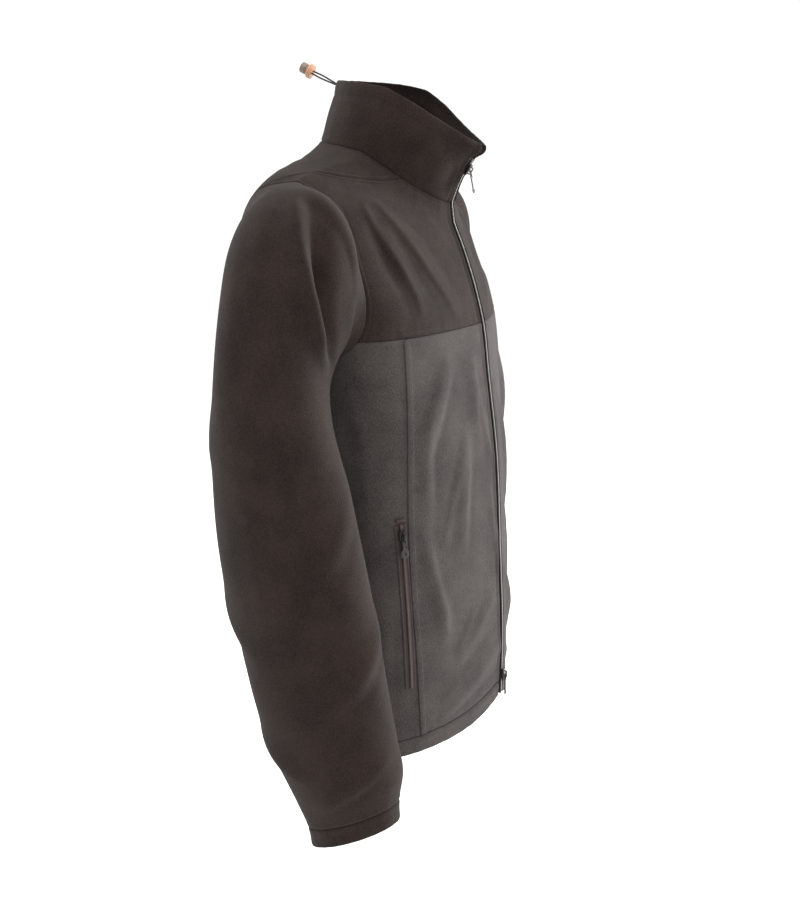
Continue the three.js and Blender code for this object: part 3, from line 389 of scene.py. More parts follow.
class Graph:
    """A node tree being built. node() adds a node, sets it up and gives back one of its outputs."""

    def __init__(self, tree):
        self.tree = tree

    def put(self, socket, value):
        if isinstance(value, Value):
            self.tree.links.new(value.socket, socket)
        elif value is not None:
            socket.default_value = value

    def node(self, kind, settings=None, inputs=None, output=0):
        node = self.tree.nodes.new(kind)
        for name, value in (settings or {}).items():
            setattr(node, name, value)
        pairs = inputs.items() if isinstance(inputs, dict) else enumerate(inputs or [])
        for key, value in pairs:
            self.put(node.inputs[key], value)
        return Value(self, node.outputs[output])


class Finish(Graph):
    """A material being built."""

    def __init__(self, name):
        self.material = bpy.data.materials.new(name)
        self.material.use_nodes = True
        super().__init__(self.material.node_tree)
        self.shader = self.tree.nodes["Principled BSDF"]

    def place(self, scale=(1, 1, 1)):
        where = self.node("ShaderNodeTexCoord", output="Object")
        return self.node("ShaderNodeMapping", {}, {"Vector": where, "Scale": scale})

    def noise(self, scale, detail=2.0, rough=0.5, where=None):
        inputs = {"Vector": where or self.place(), "Scale": scale, "Detail": detail, "Roughness": rough}
        return self.node("ShaderNodeTexNoise", {}, inputs)

    def mix(self, factor, a, b):
        return self.node("ShaderNodeMix", {"data_type": "RGBA"}, {0: factor, 6: a, 7: b}, output=2)

    def bump(self, height, distance, strength=1.0):
        return self.node("ShaderNodeBump", {}, {"Height": height, "Distance": distance, "Strength": strength})

    def finish(self, **sockets):
        for name, value in sockets.items():
            self.put(self.shader.inputs[name.replace("_", " ")], value)
        return self.material


def linear(r, g, b):
    """A colour from 0 to 255, as it looks on a screen, as Blender's linear colour."""
    shares = (r / 255, g / 255, b / 255)
    return tuple(v / 12.92 if v <= 0.04045 else ((v + 0.055) / 1.055) ** 2.4 for v in shares) + (1,)


# %% [markdown]
# ## Fleece
# Polyester fleece is a knit whose face is brushed up into a short, dense nap. It scatters light, so it
# has almost no gloss, a pale bloom where it turns away from the eye, and a soft pebbled surface with
# millimetre-sized tufts. Bump gives the tufts, sheen gives the bloom, and a broad noise gives the
# uneven brushing.

# %% Fleece finishes
def fleece(name, deep, pale, sheen):
    cloth = Finish(name)
    where = cloth.place()
    brushed = cloth.noise(22, 3, 0.55, where)
    tufts = cloth.noise(620, 3, 0.6, where)
    fibres = cloth.noise(1900, 2, 0.6, where)
    tone = brushed.between(0.3, 0.7) * 0.3 + tufts.between(0.32, 0.68) * 0.4 + fibres.between(0.3, 0.7) * 0.3
    colour = cloth.mix(tone, linear(*deep), linear(*pale))
    height = tufts * 0.7 + fibres * 0.3
    return cloth.finish(
        Base_Color=colour,
        Roughness=1.0,
        Specular_IOR_Level=0.15,
        Sheen_Weight=sheen,
        Sheen_Roughness=0.55,
        Normal=cloth.bump(height, 0.0011, 0.8),
    )


BLACK_FLEECE = fleece("black fleece", (18, 11, 9), (52, 42, 38), 0.04)
GREY_FLEECE = fleece("grey fleece", (38, 33, 32), (76, 70, 68), 0.06)


def plain(name, colour, roughness, metallic=0.0, grain=900, depth=0.0001):
    """A moulded or enamelled finish: fine grain, and a little unevenness in its gloss."""
    skin = Finish(name)
    fine = skin.noise(grain, 2, 0.5)
    broad = skin.noise(grain / 12, 2, 0.5)
    shade = tuple(v * 0.8 for v in colour)
    return skin.finish(
        Base_Color=skin.mix(broad, linear(*shade), linear(*colour)),
        Roughness=broad * 0.12 + (roughness - 0.06),
        Metallic=metallic,
        Normal=skin.bump(fine, depth, 0.4),
    )


ZIP_TAPE = plain("zip tape", (34, 28, 24), 0.85, grain=1500, depth=0.0003)
ZIP_PLASTIC = plain("moulded plastic", (20, 18, 18), 0.38)
ENAMEL = plain("enamelled metal", (38, 35, 34), 0.3, metallic=0.6)
CORD_FINISH = plain("elastic cord", (52, 56, 56), 0.75, grain=2600, depth=0.0003)
TOGGLE_TAN = plain("tan plastic", (206, 150, 110), 0.42)
TOGGLE_GREY = plain("warm grey plastic", (122, 104, 92), 0.42)

# %% [markdown]
# ## The drawcord
# An elastic cord leaves an eyelet at the centre back of the collar as two strands, which bow apart a
# little and meet the face of a spring toggle. It is stiff enough to stand up at a low angle. Its route
# is the same short list of points as in the model, so it is swept along them as a round tube.

# %% Drawcord and eyelet
CORD_DIAMETER, CORD_SPREAD, CORD_LENGTH = 2.0, 3.2, 36
CORD_RISE = math.radians(25)
CORD_WAY = np.array([0, math.cos(CORD_RISE), math.sin(CORD_RISE)])
CORD_LIFT = np.array([0, -math.sin(CORD_RISE), math.cos(CORD_RISE)])
EYELET = {"inner": 2.6, "outer": 4.6, "thick": 1.2}
LAY_GAP = 0.3
EXIT_H = 0.90
exit_normal = collar_normal(1, EXIT_H)
eyelet_face = collar_base(1, EXIT_H) + exit_normal * (COLLAR_CLOTH + LAY_GAP)
cord_start = eyelet_face + exit_normal * EYELET["thick"] / 2


def strand_points(sign):
    lean = (0.75, 0.9, 1.0, 1.0)
    height = (0, 0.9, 1.6, 1.2)
    points = []
    for i in range(4):
        p = cord_start + CORD_WAY * CORD_LENGTH * i / 3 + CORD_LIFT * sign * height[i]
        points.append(p + np.array([sign * CORD_SPREAD * lean[i] / 2, 0, 0]))
    return np.array(points)


def through(points, count):
    """Centripetal curve through the points, as the model's own curve runs."""
    ends = [2 * points[0] - points[1], *points, 2 * points[-1] - points[-2]]
    made = []
    for k in range(1, len(ends) - 2):
        a, b, c, d = ends[k - 1:k + 3]
        knots = [0.0]
        for p, q in ((a, b), (b, c), (c, d)):
            knots.append(knots[-1] + np.linalg.norm(q - p) ** 0.5)
        for t in np.linspace(knots[1], knots[2], count, endpoint=False):
            ab = (a * (knots[1] - t) + b * t) / knots[1]
            bc = (b * (knots[2] - t) + c * (t - knots[1])) / (knots[2] - knots[1])
            cd = (c * (knots[3] - t) + d * (t - knots[2])) / (knots[3] - knots[2])
            abc = (ab * (knots[2] - t) + bc * t) / knots[2]
            bcd = (bc * (knots[3] - t) + cd * (t - knots[1])) / (knots[3] - knots[1])
            made.append((abc * (knots[2] - t) + bcd * (t - knots[1])) / (knots[2] - knots[1]))
    return np.array([*made, points[-1]])


def tube(name, path, radius, sides=16):
    """A round tube with closed ends along a path."""
    ways = unit(np.gradient(path, axis=0))
    across = unit(np.cross(ways, [0, 0, 1.0]))
    lift = np.cross(across, ways)
    turn = np.linspace(0, 2 * math.pi, sides, endpoint=False)
    ring = across[:, None] * np.cos(turn)[:, None] + lift[:, None] * np.sin(turn)[:, None]
    points = (path[:, None] + ring * radius).reshape(-1, 3)
    faces = grid_faces(len(path), sides, True)[:, ::-1].tolist()
    last = (len(path) - 1) * sides
    faces += [list(range(sides)), [last + k for k in range(sides)][::-1]]
    return new_piece(name, points, faces)


def facing_out(piece):
    """Turns the faces of a closed piece outwards, once its doubled points are one."""
    mesh = bmesh.new()
    mesh.from_mesh(piece.data)
    bmesh.ops.remove_doubles(mesh, verts=mesh.verts, dist=1e-6)
    bmesh.ops.recalc_face_normals(mesh, faces=mesh.faces)
    mesh.to_mesh(piece.data)
    mesh.free()
    return piece


def make_strand(name, sign):
    path = through(strand_points(sign), 10)
    strand = facing_out(tube(name, path, CORD_DIAMETER / 2))
    dress(strand, CORD_FINISH, [name.replace("drawcord", "cord-strand")])
    length = np.linalg.norm(np.diff(path, axis=0), axis=1).sum()
    return strand, path, length


def spin(name, profile, at, way, segments=48):
    """A turned piece: a profile of (radius, height) points round an axis."""
    way = unit(np.asarray(way, float))
    side = unit(np.cross(way, [1.0, 0, 0.001]))
    other = np.cross(way, side)
    turn = np.linspace(0, 2 * math.pi, segments, endpoint=False)
    points = []
    for radius, height in profile:
        ring = np.cos(turn)[:, None] * side + np.sin(turn)[:, None] * other
        points.append(at + way * height + ring * max(radius, 1e-4))
    faces = grid_faces(len(profile), segments, True).tolist()
    return facing_out(new_piece(name, np.concatenate(points), faces))


def rounded(corners, radius, steps=4):
    """A profile with its corners rounded off by arcs of about that radius."""
    corners = [np.array(c, float) for c in corners]
    made = [corners[0]]
    for before, corner, after in zip(corners, corners[1:], corners[2:]):
        into, out = unit(before - corner), unit(after - corner)
        room = min(np.linalg.norm(before - corner), np.linalg.norm(after - corner)) * 0.48
        start, end = corner + into * min(radius, room), corner + out * min(radius, room)
        for t in np.linspace(0, 1, steps):
            made.append((1 - t) ** 2 * start + 2 * t * (1 - t) * corner + t**2 * end)
    return [*made, corners[-1]]


def make_drawcord():
    inner, outer, thick = EYELET["inner"], EYELET["outer"], EYELET["thick"]
    middle = (inner + outer) / 2
    ring = [
        (middle + (outer - inner) / 2 * math.cos(a), thick / 2 + thick / 2 * math.sin(a))
        for a in np.linspace(0, 2 * math.pi, 17)
    ]
    eyelet = spin("eyelet", ring, eyelet_face, exit_normal)
    dress(eyelet, ENAMEL, ["cord-eyelet"])
    start = cord_start + CORD_WAY * (CORD_LENGTH + LAY_GAP + 0.1)
    flange = rounded([(0, 0), (8.4, 0), (8.4, 2.3), (7.6, 2.5), (8.4, 2.7), (8.4, 5), (0, 5)], 0.8)
    plunger = spin("toggle-flange", flange, start, CORD_WAY)
    dress(plunger, TOGGLE_TAN, ["toggle-plunger"])
    barrel = rounded(
        [(0, 0), (6.2, 0), (6.2, 1.6), (5.7, 1.8), (5.7, 2.5), (6.2, 2.7), (6.2, 9.5), (2.6, 9.5),
        (2.2, 8.9), (0, 8.9)],
        1.3,
    )
    housing = spin("toggle-barrel", barrel, start + CORD_WAY * (5 + LAY_GAP), CORD_WAY)
    dress(housing, TOGGLE_GREY, ["toggle-housing"])
    for name, sign in (("drawcord-upper", 1), ("drawcord-lower", -1)):
        strand, path, length = make_strand(name, sign)
        path[0] * MM
        length * MM
        path * MM
        print(name, "is", round(length, 1), "mm long")


make_drawcord()

# %% [markdown]
# ## Folds and creases
# The large folds are those of the model: a soft ridge or trough along a straight way. The creases are
# finer and listed one by one, each as its height, its width, how far it leans to one side and the places
# that it runs through. They fade out at both ends, as folds in thick fleece do.

# %% Folds and creases
BODY_FOLDS = [
    (-0.364, 100, -0.278, 158, 13, 1.8), (-0.278, 158, -0.239, 240, 14, 2.2),
    (-0.345, 84, -0.213, 151, 14, 1.6),
    (-0.213, 151, -0.115, 264, 15, 2.0), (-0.31, 120, -0.27, 225, 14, -2.6),
    (-0.175, 330, -0.272, 409, 13, 4.0),
    (-0.272, 409, -0.274, 478, 12, 2.5), (-0.133, 422, -0.164, 520, 13, 3.5),
    (-0.080, 330, -0.088, 400, 12, 2.5),
    (-0.291, 502, -0.239, 591, 12, 3.0), (-0.239, 591, -0.235, 630, 12, 3.0),
    (-0.055, 610, -0.172, 650, 11, 4.0),
    (-0.022, 670, -0.230, 700, 10, 3.5), (0.330, 90, 0.225, 240, 26, -9.0), (0.250, 80, 0.110, 250, 13, 3.0),
    (0.160, 345, 0.255, 430, 13, 4.0), (0.110, 400, 0.150, 500, 13, 3.5),
    (0.270, 520, 0.225, 615, 12, 3.0), (0.060, 590, 0.185, 660, 12, 4.0), (0.640, 190, 0.760, 300, 16, 5.0),
    (-0.645, 185, -0.780, 310, 16, 5.0), (0.700, 330, 0.800, 520, 18, 4.5),
    (-0.690, 350, -0.820, 500, 18, 4.5),
    (0.930, 120, 0.900, 400, 20, -4.0), (-0.920, 150, -0.940, 470, 20, -3.5),
    (0.840, 520, 0.880, 690, 16, 3.5),
    (-0.860, 480, -0.850, 660, 16, 3.5),
]
SLEEVE_FOLDS = {
    "right": [
        (-0.014, 30, -0.112, 102, 12, 6.0), (-0.112, 102, -0.228, 150, 13, 7.5),
        (-0.085, 40, -0.165, 85, 15, -9.0),
        (-0.165, 85, -0.255, 128, 15, -9.0), (0.018, 60, -0.020, 170, 13, 1.8),
        (0.075, 34, 0.060, 190, 14, 1.2),
        (-0.055, 80, -0.060, 210, 13, -1.5), (0.330, 150, 0.200, 260, 18, 5.0),
        (-0.260, 300, -0.120, 380, 20, 2.0),
        (0.300, 380, 0.150, 450, 20, 4.0), (-0.290, 440, -0.100, 520, 18, 3.0),
        (0.250, 540, 0.050, 600, 16, 3.5),
        (-0.200, 600, 0.020, 640, 14, 3.0),
    ],
    "left": [
        (-0.024, 30, -0.090, 90, 12, 6.0), (-0.090, 90, -0.200, 160, 14, 7.0),
        (-0.092, 42, -0.160, 92, 15, -8.5),
        (-0.160, 92, -0.240, 145, 15, -8.5), (0.030, 28, 0.012, 150, 12, 4.5),
        (0.090, 36, 0.070, 170, 12, 4.0),
        (0.320, 165, 0.180, 280, 18, 5.0), (-0.250, 320, -0.100, 400, 20, 4.0),
        (0.310, 400, 0.140, 470, 20, 3.5),
        (-0.280, 470, -0.120, 540, 18, 3.0), (0.230, 560, 0.040, 615, 16, 3.5),
    ],
}
BODY_CREASES = [
    (2.2, 5, -0.4, [(-0.362, 98), (-0.308, 144), (-0.280, 173), (-0.259, 200), (-0.246, 228), (-0.232, 266)]),
    (1.5, 5, -0.3, [(-0.340, 79), (-0.248, 136), (-0.198, 178), (-0.160, 228), (-0.112, 274)]),
    (-1.2, 9, 0.0, [(-0.345, 122), (-0.300, 180), (-0.270, 240), (-0.262, 272)]),
    (-0.7, 8, 0.0, [(-0.290, 128), (-0.225, 180), (-0.190, 250)]),
    (-0.5, 8, 0.0, [(-0.240, 110), (-0.150, 160), (-0.095, 240)]),
    (0.4, 7, 0.0, [(-0.150, 75), (-0.098, 128), (-0.055, 190)]),
    (1.4, 6, -0.3, [(-0.172, 312), (-0.213, 348), (-0.250, 375), (-0.262, 400), (-0.274, 450)]),
    (-1.5, 7, 0.0, [(-0.150, 334), (-0.196, 378), (-0.243, 425), (-0.252, 505)]),
    (1.1, 6, 0.0, [(-0.071, 320), (-0.080, 390), (-0.070, 430)]),
    (1.5, 6, -0.3, [(-0.122, 396), (-0.162, 445), (-0.197, 481), (-0.228, 528)]),
    (-1.2, 6, 0.0, [(-0.104, 420), (-0.126, 480), (-0.140, 545)]),
    (1.5, 6, 0.0, [(-0.066, 352), (-0.050, 405), (-0.019, 455)]),
    (1.5, 6, 0.0, [(-0.048, 474), (-0.025, 535), (-0.006, 592)]),
    (1.3, 7, 0.2, [(-0.290, 515), (-0.258, 558), (-0.236, 600), (-0.230, 630)]),
    (-1.3, 7, 0.0, [(-0.262, 498), (-0.250, 548), (-0.212, 602)]),
    (1.6, 5, 0.3, [(-0.112, 606), (-0.140, 620), (-0.161, 631), (-0.190, 648)]),
    (-1.4, 6, 0.0, [(-0.036, 640), (-0.110, 656), (-0.190, 668)]),
    (1.6, 6, 0.0, [(-0.020, 672), (-0.137, 669), (-0.211, 681), (-0.290, 699)]),
    (-1.3, 5, 0.0, [(-0.024, 698), (-0.140, 700), (-0.260, 711)]),
    (1.2, 6, 0.0, [(-0.420, 330), (-0.400, 400), (-0.410, 470)]),
    (-1.4, 7, 0.0, [(-0.455, 325), (-0.430, 390), (-0.440, 500)]),
    (1.4, 8, 0.0, [(-0.480, 400), (-0.470, 500), (-0.500, 610)]),
    (1.2, 7, 0.0, [(-0.385, 560), (-0.390, 620), (-0.400, 690)]),
    (-1.2, 7, 0.0, [(-0.360, 575), (-0.366, 640), (-0.376, 700)]),
    (1.2, 7, 0.0, [(0.356, 100), (0.318, 150), (0.285, 205), (0.262, 250)]),
    (-1.0, 8, 0.0, [(0.320, 112), (0.276, 170), (0.240, 225)]),
    (1.2, 6, 0.0, [(0.300, 86), (0.200, 140), (0.125, 235)]),
    (-0.9, 6, 0.0, [(0.230, 92), (0.140, 150), (0.080, 230)]),
    (1.3, 7, 0.0, [(0.150, 335), (0.210, 385), (0.262, 450)]),
    (-1.3, 7, 0.0, [(0.130, 345), (0.185, 400), (0.230, 470)]),
    (1.4, 7, 0.0, [(0.105, 395), (0.135, 455), (0.155, 525)]),
    (1.3, 6, 0.0, [(0.045, 350), (0.036, 420), (0.050, 480)]),
    (1.5, 7, 0.0, [(0.280, 510), (0.255, 565), (0.222, 625)]),
    (1.7, 6, 0.0, [(0.050, 590), (0.120, 630), (0.200, 660)]),
    (-1.3, 6, 0.0, [(0.040, 625), (0.120, 655), (0.210, 682)]),
    (1.4, 6, 0.0, [(0.025, 672), (0.130, 690), (0.240, 700)]),
    (1.3, 7, 0.0, [(0.400, 340), (0.420, 430), (0.410, 520)]),
    (-1.3, 7, 0.0, [(0.450, 330), (0.460, 430), (0.440, 540)]),
    (2.0, 9, 0.3, [(0.640, 185), (0.700, 235), (0.770, 300), (0.800, 340)]),
    (2.0, 9, -0.3, [(-0.645, 180), (-0.712, 240), (-0.785, 312), (-0.810, 360)]),
    (-1.8, 9, 0.0, [(0.650, 150), (0.740, 195), (0.840, 225)]),
    (-1.8, 9, 0.0, [(-0.655, 150), (-0.735, 200), (-0.830, 232)]),
    (1.6, 8, 0.0, [(0.625, 140), (0.720, 165), (0.850, 172), (0.960, 160)]),
    (1.5, 8, 0.0, [(-0.630, 142), (-0.730, 168), (-0.860, 180), (-0.950, 176)]),
    (1.5, 8, 0.0, [(0.560, 60), (0.680, 84), (0.820, 92), (1.000, 84), (1.160, 94), (1.340, 80)]),
    (-1.2, 7, 0.0, [(0.620, 34), (0.780, 46), (1.000, 42), (1.230, 48), (1.380, 36)]),
    (1.8, 10, 0.0, [(0.700, 320), (0.760, 420), (0.805, 530)]),
    (1.8, 10, 0.0, [(-0.690, 340), (-0.770, 430), (-0.825, 520)]),
    (-1.6, 10, 0.0, [(0.900, 250), (0.880, 400), (0.900, 560)]),
    (-1.6, 10, 0.0, [(-0.920, 240), (-0.930, 400), (-0.900, 540)]),
    (1.7, 9, 0.0, [(0.985, 330), (1.005, 470), (0.990, 640)]),
    (1.5, 8, 0.0, [(0.830, 510), (0.870, 600), (0.880, 700)]),
    (1.5, 8, 0.0, [(-0.860, 470), (-0.845, 570), (-0.850, 680)]),
    (-1.4, 8, 0.0, [(0.760, 560), (0.790, 640), (0.780, 710)]),
    (-1.4, 8, 0.0, [(-0.770, 540), (-0.760, 630), (-0.740, 712)]),
    (1.2, 8, 0.0, [(0.560, 560), (0.600, 640), (0.590, 705)]),
    (1.2, 8, 0.0, [(-0.580, 540), (-0.600, 620), (-0.570, 700)]),
]
SLEEVE_CREASES = {
    "right": [
        (4.2, 7, -0.5, [(-0.008, 28), (-0.068, 79), (-0.114, 103), (-0.170, 126), (-0.232, 150)]),
        (-5.0, 8, 0.0, [(-0.050, 34), (-0.118, 76), (-0.170, 98), (-0.236, 124)]),
        (2.2, 7, 0.0, [(-0.180, 66), (-0.194, 101), (-0.214, 146)]),
        (0.8, 7, 0.0, [(0.066, 14), (0.016, 75), (-0.015, 136), (-0.030, 210)]),
        (-0.5, 8, 0.0, [(0.000, 44), (-0.034, 100), (-0.050, 170)]),
        (0.5, 9, 0.0, [(0.140, 30), (0.120, 120), (0.090, 240)]),
        (1.6, 10, 0.0, [(-0.075, 170), (-0.060, 260), (-0.080, 350)]),
        (-1.5, 10, 0.0, [(-0.030, 220), (-0.020, 300), (-0.045, 400)]),
        (1.5, 10, 0.0, [(0.060, 260), (0.030, 350), (0.050, 450)]),
        (1.6, 9, 0.3, [(-0.260, 296), (-0.180, 340), (-0.110, 385)]),
        (-1.6, 9, 0.0, [(-0.250, 330), (-0.170, 372), (-0.090, 410)]),
        (1.6, 9, 0.0, [(0.300, 372), (0.220, 418), (0.130, 456)]),
        (-1.5, 9, 0.0, [(0.290, 410), (0.200, 450), (0.110, 480)]),
        (1.5, 9, 0.0, [(-0.290, 436), (-0.190, 482), (-0.080, 524)]),
        (-1.4, 9, 0.0, [(-0.280, 470), (-0.170, 512), (-0.050, 548)]),
        (1.5, 8, 0.0, [(0.260, 536), (0.140, 574), (0.030, 606)]),
        (1.4, 7, 0.0, [(-0.210, 596), (-0.100, 622), (0.030, 642)]),
        (-1.2, 6, 0.0, [(-0.160, 622), (-0.050, 642), (0.060, 654)]),
        (1.6, 10, 0.0, [(0.440, 90), (0.400, 170), (0.330, 260)]),
        (-1.6, 10, 0.0, [(-0.360, 90), (-0.370, 190), (-0.330, 280)]),
    ],
    "left": [
        (2.8, 8, 0.4, [(-0.020, 28), (-0.056, 62), (-0.094, 92), (-0.150, 122), (-0.212, 152)]),
        (-2.4, 8, 0.0, [(-0.060, 32), (-0.108, 66), (-0.158, 94), (-0.220, 122)]),
        (1.9, 7, 0.0, [(-0.190, 68), (-0.205, 108), (-0.222, 148)]),
        (1.7, 6, 0.0, [(0.034, 22), (0.018, 80), (0.006, 150)]),
        (-1.5, 6, 0.0, [(0.012, 36), (-0.012, 96), (-0.030, 170)]),
        (1.5, 7, 0.0, [(0.092, 28), (0.076, 110), (0.060, 190)]),
        (1.6, 10, 0.0, [(-0.080, 190), (-0.066, 280), (-0.086, 370)]),
        (-1.5, 10, 0.0, [(0.000, 240), (-0.010, 330), (-0.030, 420)]),
        (1.6, 9, 0.0, [(-0.250, 318), (-0.170, 362), (-0.090, 404)]),
        (1.6, 9, 0.0, [(0.310, 392), (0.220, 436), (0.120, 476)]),
        (-1.5, 9, 0.0, [(0.300, 428), (0.200, 466), (0.110, 498)]),
        (1.4, 9, 0.0, [(-0.280, 464), (-0.190, 506), (-0.100, 544)]),
        (1.5, 8, 0.0, [(0.240, 556), (0.130, 592), (0.020, 620)]),
        (1.4, 7, 0.0, [(-0.200, 604), (-0.090, 628), (0.020, 646)]),
        (1.6, 10, 0.0, [(0.430, 100), (0.390, 180), (0.320, 270)]),
        (-1.6, 10, 0.0, [(-0.350, 100), (-0.360, 200), (-0.320, 290)]),
    ],
}
COLLAR_CREASES = [
    (1.6, 9, 0.0, [(-0.075, 0.05), (-0.060, 0.30), (-0.035, 0.62)]),
    (-1.4, 9, 0.0, [(-0.115, 0.02), (-0.105, 0.30), (-0.080, 0.60)]),
    (1.2, 12, 0.0, [(-0.330, 0.30), (-0.240, 0.52), (-0.140, 0.58)]),
    (-1.3, 12, 0.0, [(-0.420, 0.22), (-0.330, 0.42), (-0.200, 0.44)]),
    (1.3, 9, 0.0, [(-0.830, 0.10), (-0.850, 0.45), (-0.840, 0.80)]),
    (1.2, 12, 0.0, [(0.330, 0.32), (0.240, 0.50), (0.120, 0.56)]),
    (-1.3, 12, 0.0, [(0.420, 0.24), (0.320, 0.42), (0.190, 0.46)]),
    (1.3, 10, 0.0, [(0.830, 0.12), (0.860, 0.45), (0.850, 0.80)]),
    (-1.1, 10, 0.0, [(0.960, 0.15), (1.000, 0.40), (1.040, 0.70)]),
]
GIRTH_PER_HALF, SLEEVE_GIRTH, COLLAR_GIRTH, COLLAR_RISE, FOLD_START = 2.6, 420, 250, 92, 22


def fold_height(folds, a, b, scale):
    total = np.zeros_like(a)
    for a0, b0, a1, b1, width, height in folds:
        ax, bx = (a1 - a0) * scale, b1 - b0
        px, py = (a - a0) * scale, b - b0
        t = np.clip((px * ax + py * bx) / (ax * ax + bx * bx), 0, 1)
        away = np.hypot(px - t * ax, py - t * bx) / width
        lift = height * np.exp(-away**2) * (0.55 + 0.45 * np.sin(math.pi * t))
        total += np.where(away < 3, lift, 0)
    return total


def crease_height(creases, a, b, across, along, period):
    """Height of the creases where across and along turn the two coordinates into millimetres."""
    total = np.zeros_like(a)
    for height, width, lean, way in creases:
        nearest = np.full_like(a, np.inf)
        signed, share = np.zeros_like(a), np.zeros_like(a)
        count = len(way) - 1
        for k, ((a0, b0), (a1, b1)) in enumerate(zip(way, way[1:])):
            ax, bx = (a1 - a0) * across, (b1 - b0) * along
            px = ((a - a0 + period / 2) % period - period / 2) * across
            py = (b - b0) * along
            t = np.clip((px * ax + py * bx) / (ax * ax + bx * bx), 0, 1)
            ex, ey = px - t * ax, py - t * bx
            away = np.hypot(ex, ey)
            closer = away < nearest
            nearest = np.where(closer, away, nearest)
            signed = np.where(closer, np.sign(ax * ey - bx * ex) * away, signed)
            share = np.where(closer, (k + t) / count, share)
        skew = 1 + lean * np.tanh(signed / width)
        total += height * np.exp(-((nearest / (width * skew)) ** 2)) * np.sin(math.pi * share) ** 0.6
    return total


def body_lift(u, down):
    place = np.where(u > 1, u - 2, u)
    scale = GIRTH_PER_HALF * smooth(BODY["down"], BODY["half"], down.ravel()).reshape(down.shape)
    return fold_height(BODY_FOLDS, place, down, scale) + crease_height(BODY_CREASES, place, down, scale, 1, 2)


def sleeve_lift(side):
    def lift(turn, w):
        place = turn - np.round(turn)
        total = fold_height(SLEEVE_FOLDS[side], place, w, SLEEVE_GIRTH)
        total += crease_height(SLEEVE_CREASES[side], place, w, SLEEVE_GIRTH, 1, 1)
        return total * np.clip(w / FOLD_START, 0, 1) * np.clip((SLEEVE_END - w) / FOLD_START, 0, 1)
    return lift


def collar_lift(u, h):
    place = np.where(u > 1, u - 2, u)
    total = crease_height(COLLAR_CREASES, place, h, COLLAR_GIRTH, COLLAR_RISE, 2)
    return total * np.sin(math.pi * np.clip(h, 0, 1)) ** 0.5


# %% [markdown]
# ## Cloth with sewn edges
# A seam shows as a groove with a soft swelling beside it, and a topstitched one as a flat raised band
# that ends in the dip of the thread. Each style below is a height for every distance from the edge.
# Near a sewn edge the cloth also puckers a little, because thread is tighter than fleece.

# %% Edge styles
STITCH_AT = {"seam": 6.0, "zip": 6.5, "channel": 17.0, "hem": 2.4, "band": 1.6}


def bell(distance, middle, width):
    return np.exp(-(((distance - middle) / width) ** 2))


def edge_height(style, d):
    if style == "plain":
        return 0.25 * bell(d, 4.0, 3.2) - 0.8 * bell(d, 0, 1.7)
    if style == "stitched":
        return 0.3 / (1 + np.exp((d - 6.4) * 2)) - 0.4 * bell(d, 6.0, 1.1) - 0.9 * bell(d, 0, 1.6)
    if style == "zip":
        return 0.25 / (1 + np.exp((d - 6.8) * 2)) - 0.35 * bell(d, 6.5, 1.1) + 0.9 * bell(d, 1.6, 1.8)
    if style == "channel":
        return 0.9 * bell(d, 7, 6) - 0.5 * bell(d, STITCH_AT["channel"], 1.4)
    if style == "tuck":
        return 0.5 * bell(d, 5, 3.4) - 1.0 * bell(d, 0.6, 1.9)
    if style == "band":
        return -0.35 * bell(d, 1.6, 0.6)
    return np.zeros_like(d)


ROUNDING = {"plain": 0.9, "stitched": 0.8, "zip": 1.4, "channel": 1.7, "tuck": 0.6, "free": 1.4, "band": 0.8}
PUCKER = {"plain": 0.2, "stitched": 0.28, "zip": 0.3, "channel": 0.3, "tuck": 0.4, "free": 0.2, "band": 0.15}


def round_off(style, d):
    """How much of the cloth's thickness is left at a distance from its rounded edge."""
    reach = ROUNDING[style]
    inside = np.clip(1 - d / reach, 0, 1)
    return 1 - 0.75 * (1 - np.sqrt(np.maximum(1 - inside**2, 0)))


def ripple(run, d, seed):
    """Small waves along a seam that die away from it."""
    chance = np.random.default_rng(seed)
    wave = np.zeros_like(run)
    for length in (11, 17, 26, 41):
        wave += np.sin(run * 2 * math.pi / length * chance.uniform(0.85, 1.15) + chance.uniform(0, 6.28))
    return 0.5 * wave * np.exp(-d / 13) * (1 - np.exp(-d / 2.5))


def spread(length, coarse, fine=1.1, reach=10):
    """Shares from 0 to 1 that stand close together near both ends of a length in millimetres."""
    at = [SEAM_GAP / 2]
    while at[-1] < length / 2:
        at.append(at[-1] + min(coarse, max(fine, fine + (at[-1] - reach) * 0.3)))
    at = np.array(at)
    at = SEAM_GAP / 2 + (at - SEAM_GAP / 2) * (length / 2 - SEAM_GAP / 2) / (at[-1] - SEAM_GAP / 2)
    return np.concatenate([at, length - at[-2::-1]]) / length


MM_PER_PLACE = 500


def along(line, at):
    """Points of a line of places at shares of its length."""
    line = np.asarray(line, float)
    steps = np.hypot(np.diff(line[:, 0]) * MM_PER_PLACE, np.diff(line[:, 1]))
    run = np.concatenate([[0], np.cumsum(steps)])
    return np.stack([np.interp(at * run[-1], run, line[:, k]) for k in (0, 1)], axis=-1), run[-1]


def patch(top, bottom, left, right, coarse=3.6):
    """Grid of places between four lines: top and bottom run across, left and right run down."""
    across = spread(max(along(top, 0)[1], along(bottom, 0)[1]), coarse)
    down = spread(max(along(left, 0)[1], along(right, 0)[1]), coarse)
    a, b, c, d = (np.array(corner, float) for corner in (top[0], top[-1], bottom[0], bottom[-1]))
    (top, _), (bottom, _) = along(top, across), along(bottom, across)
    (left, _), (right, _) = along(left, down), along(right, down)
    s, t = across[None, :, None], down[:, None, None]
    ruled = (1 - t) * top + t * bottom + (1 - s) * left[:, None] + s * right[:, None]
    return ruled - (1 - t) * ((1 - s) * a + s * b) - t * ((1 - s) * c + s * d)

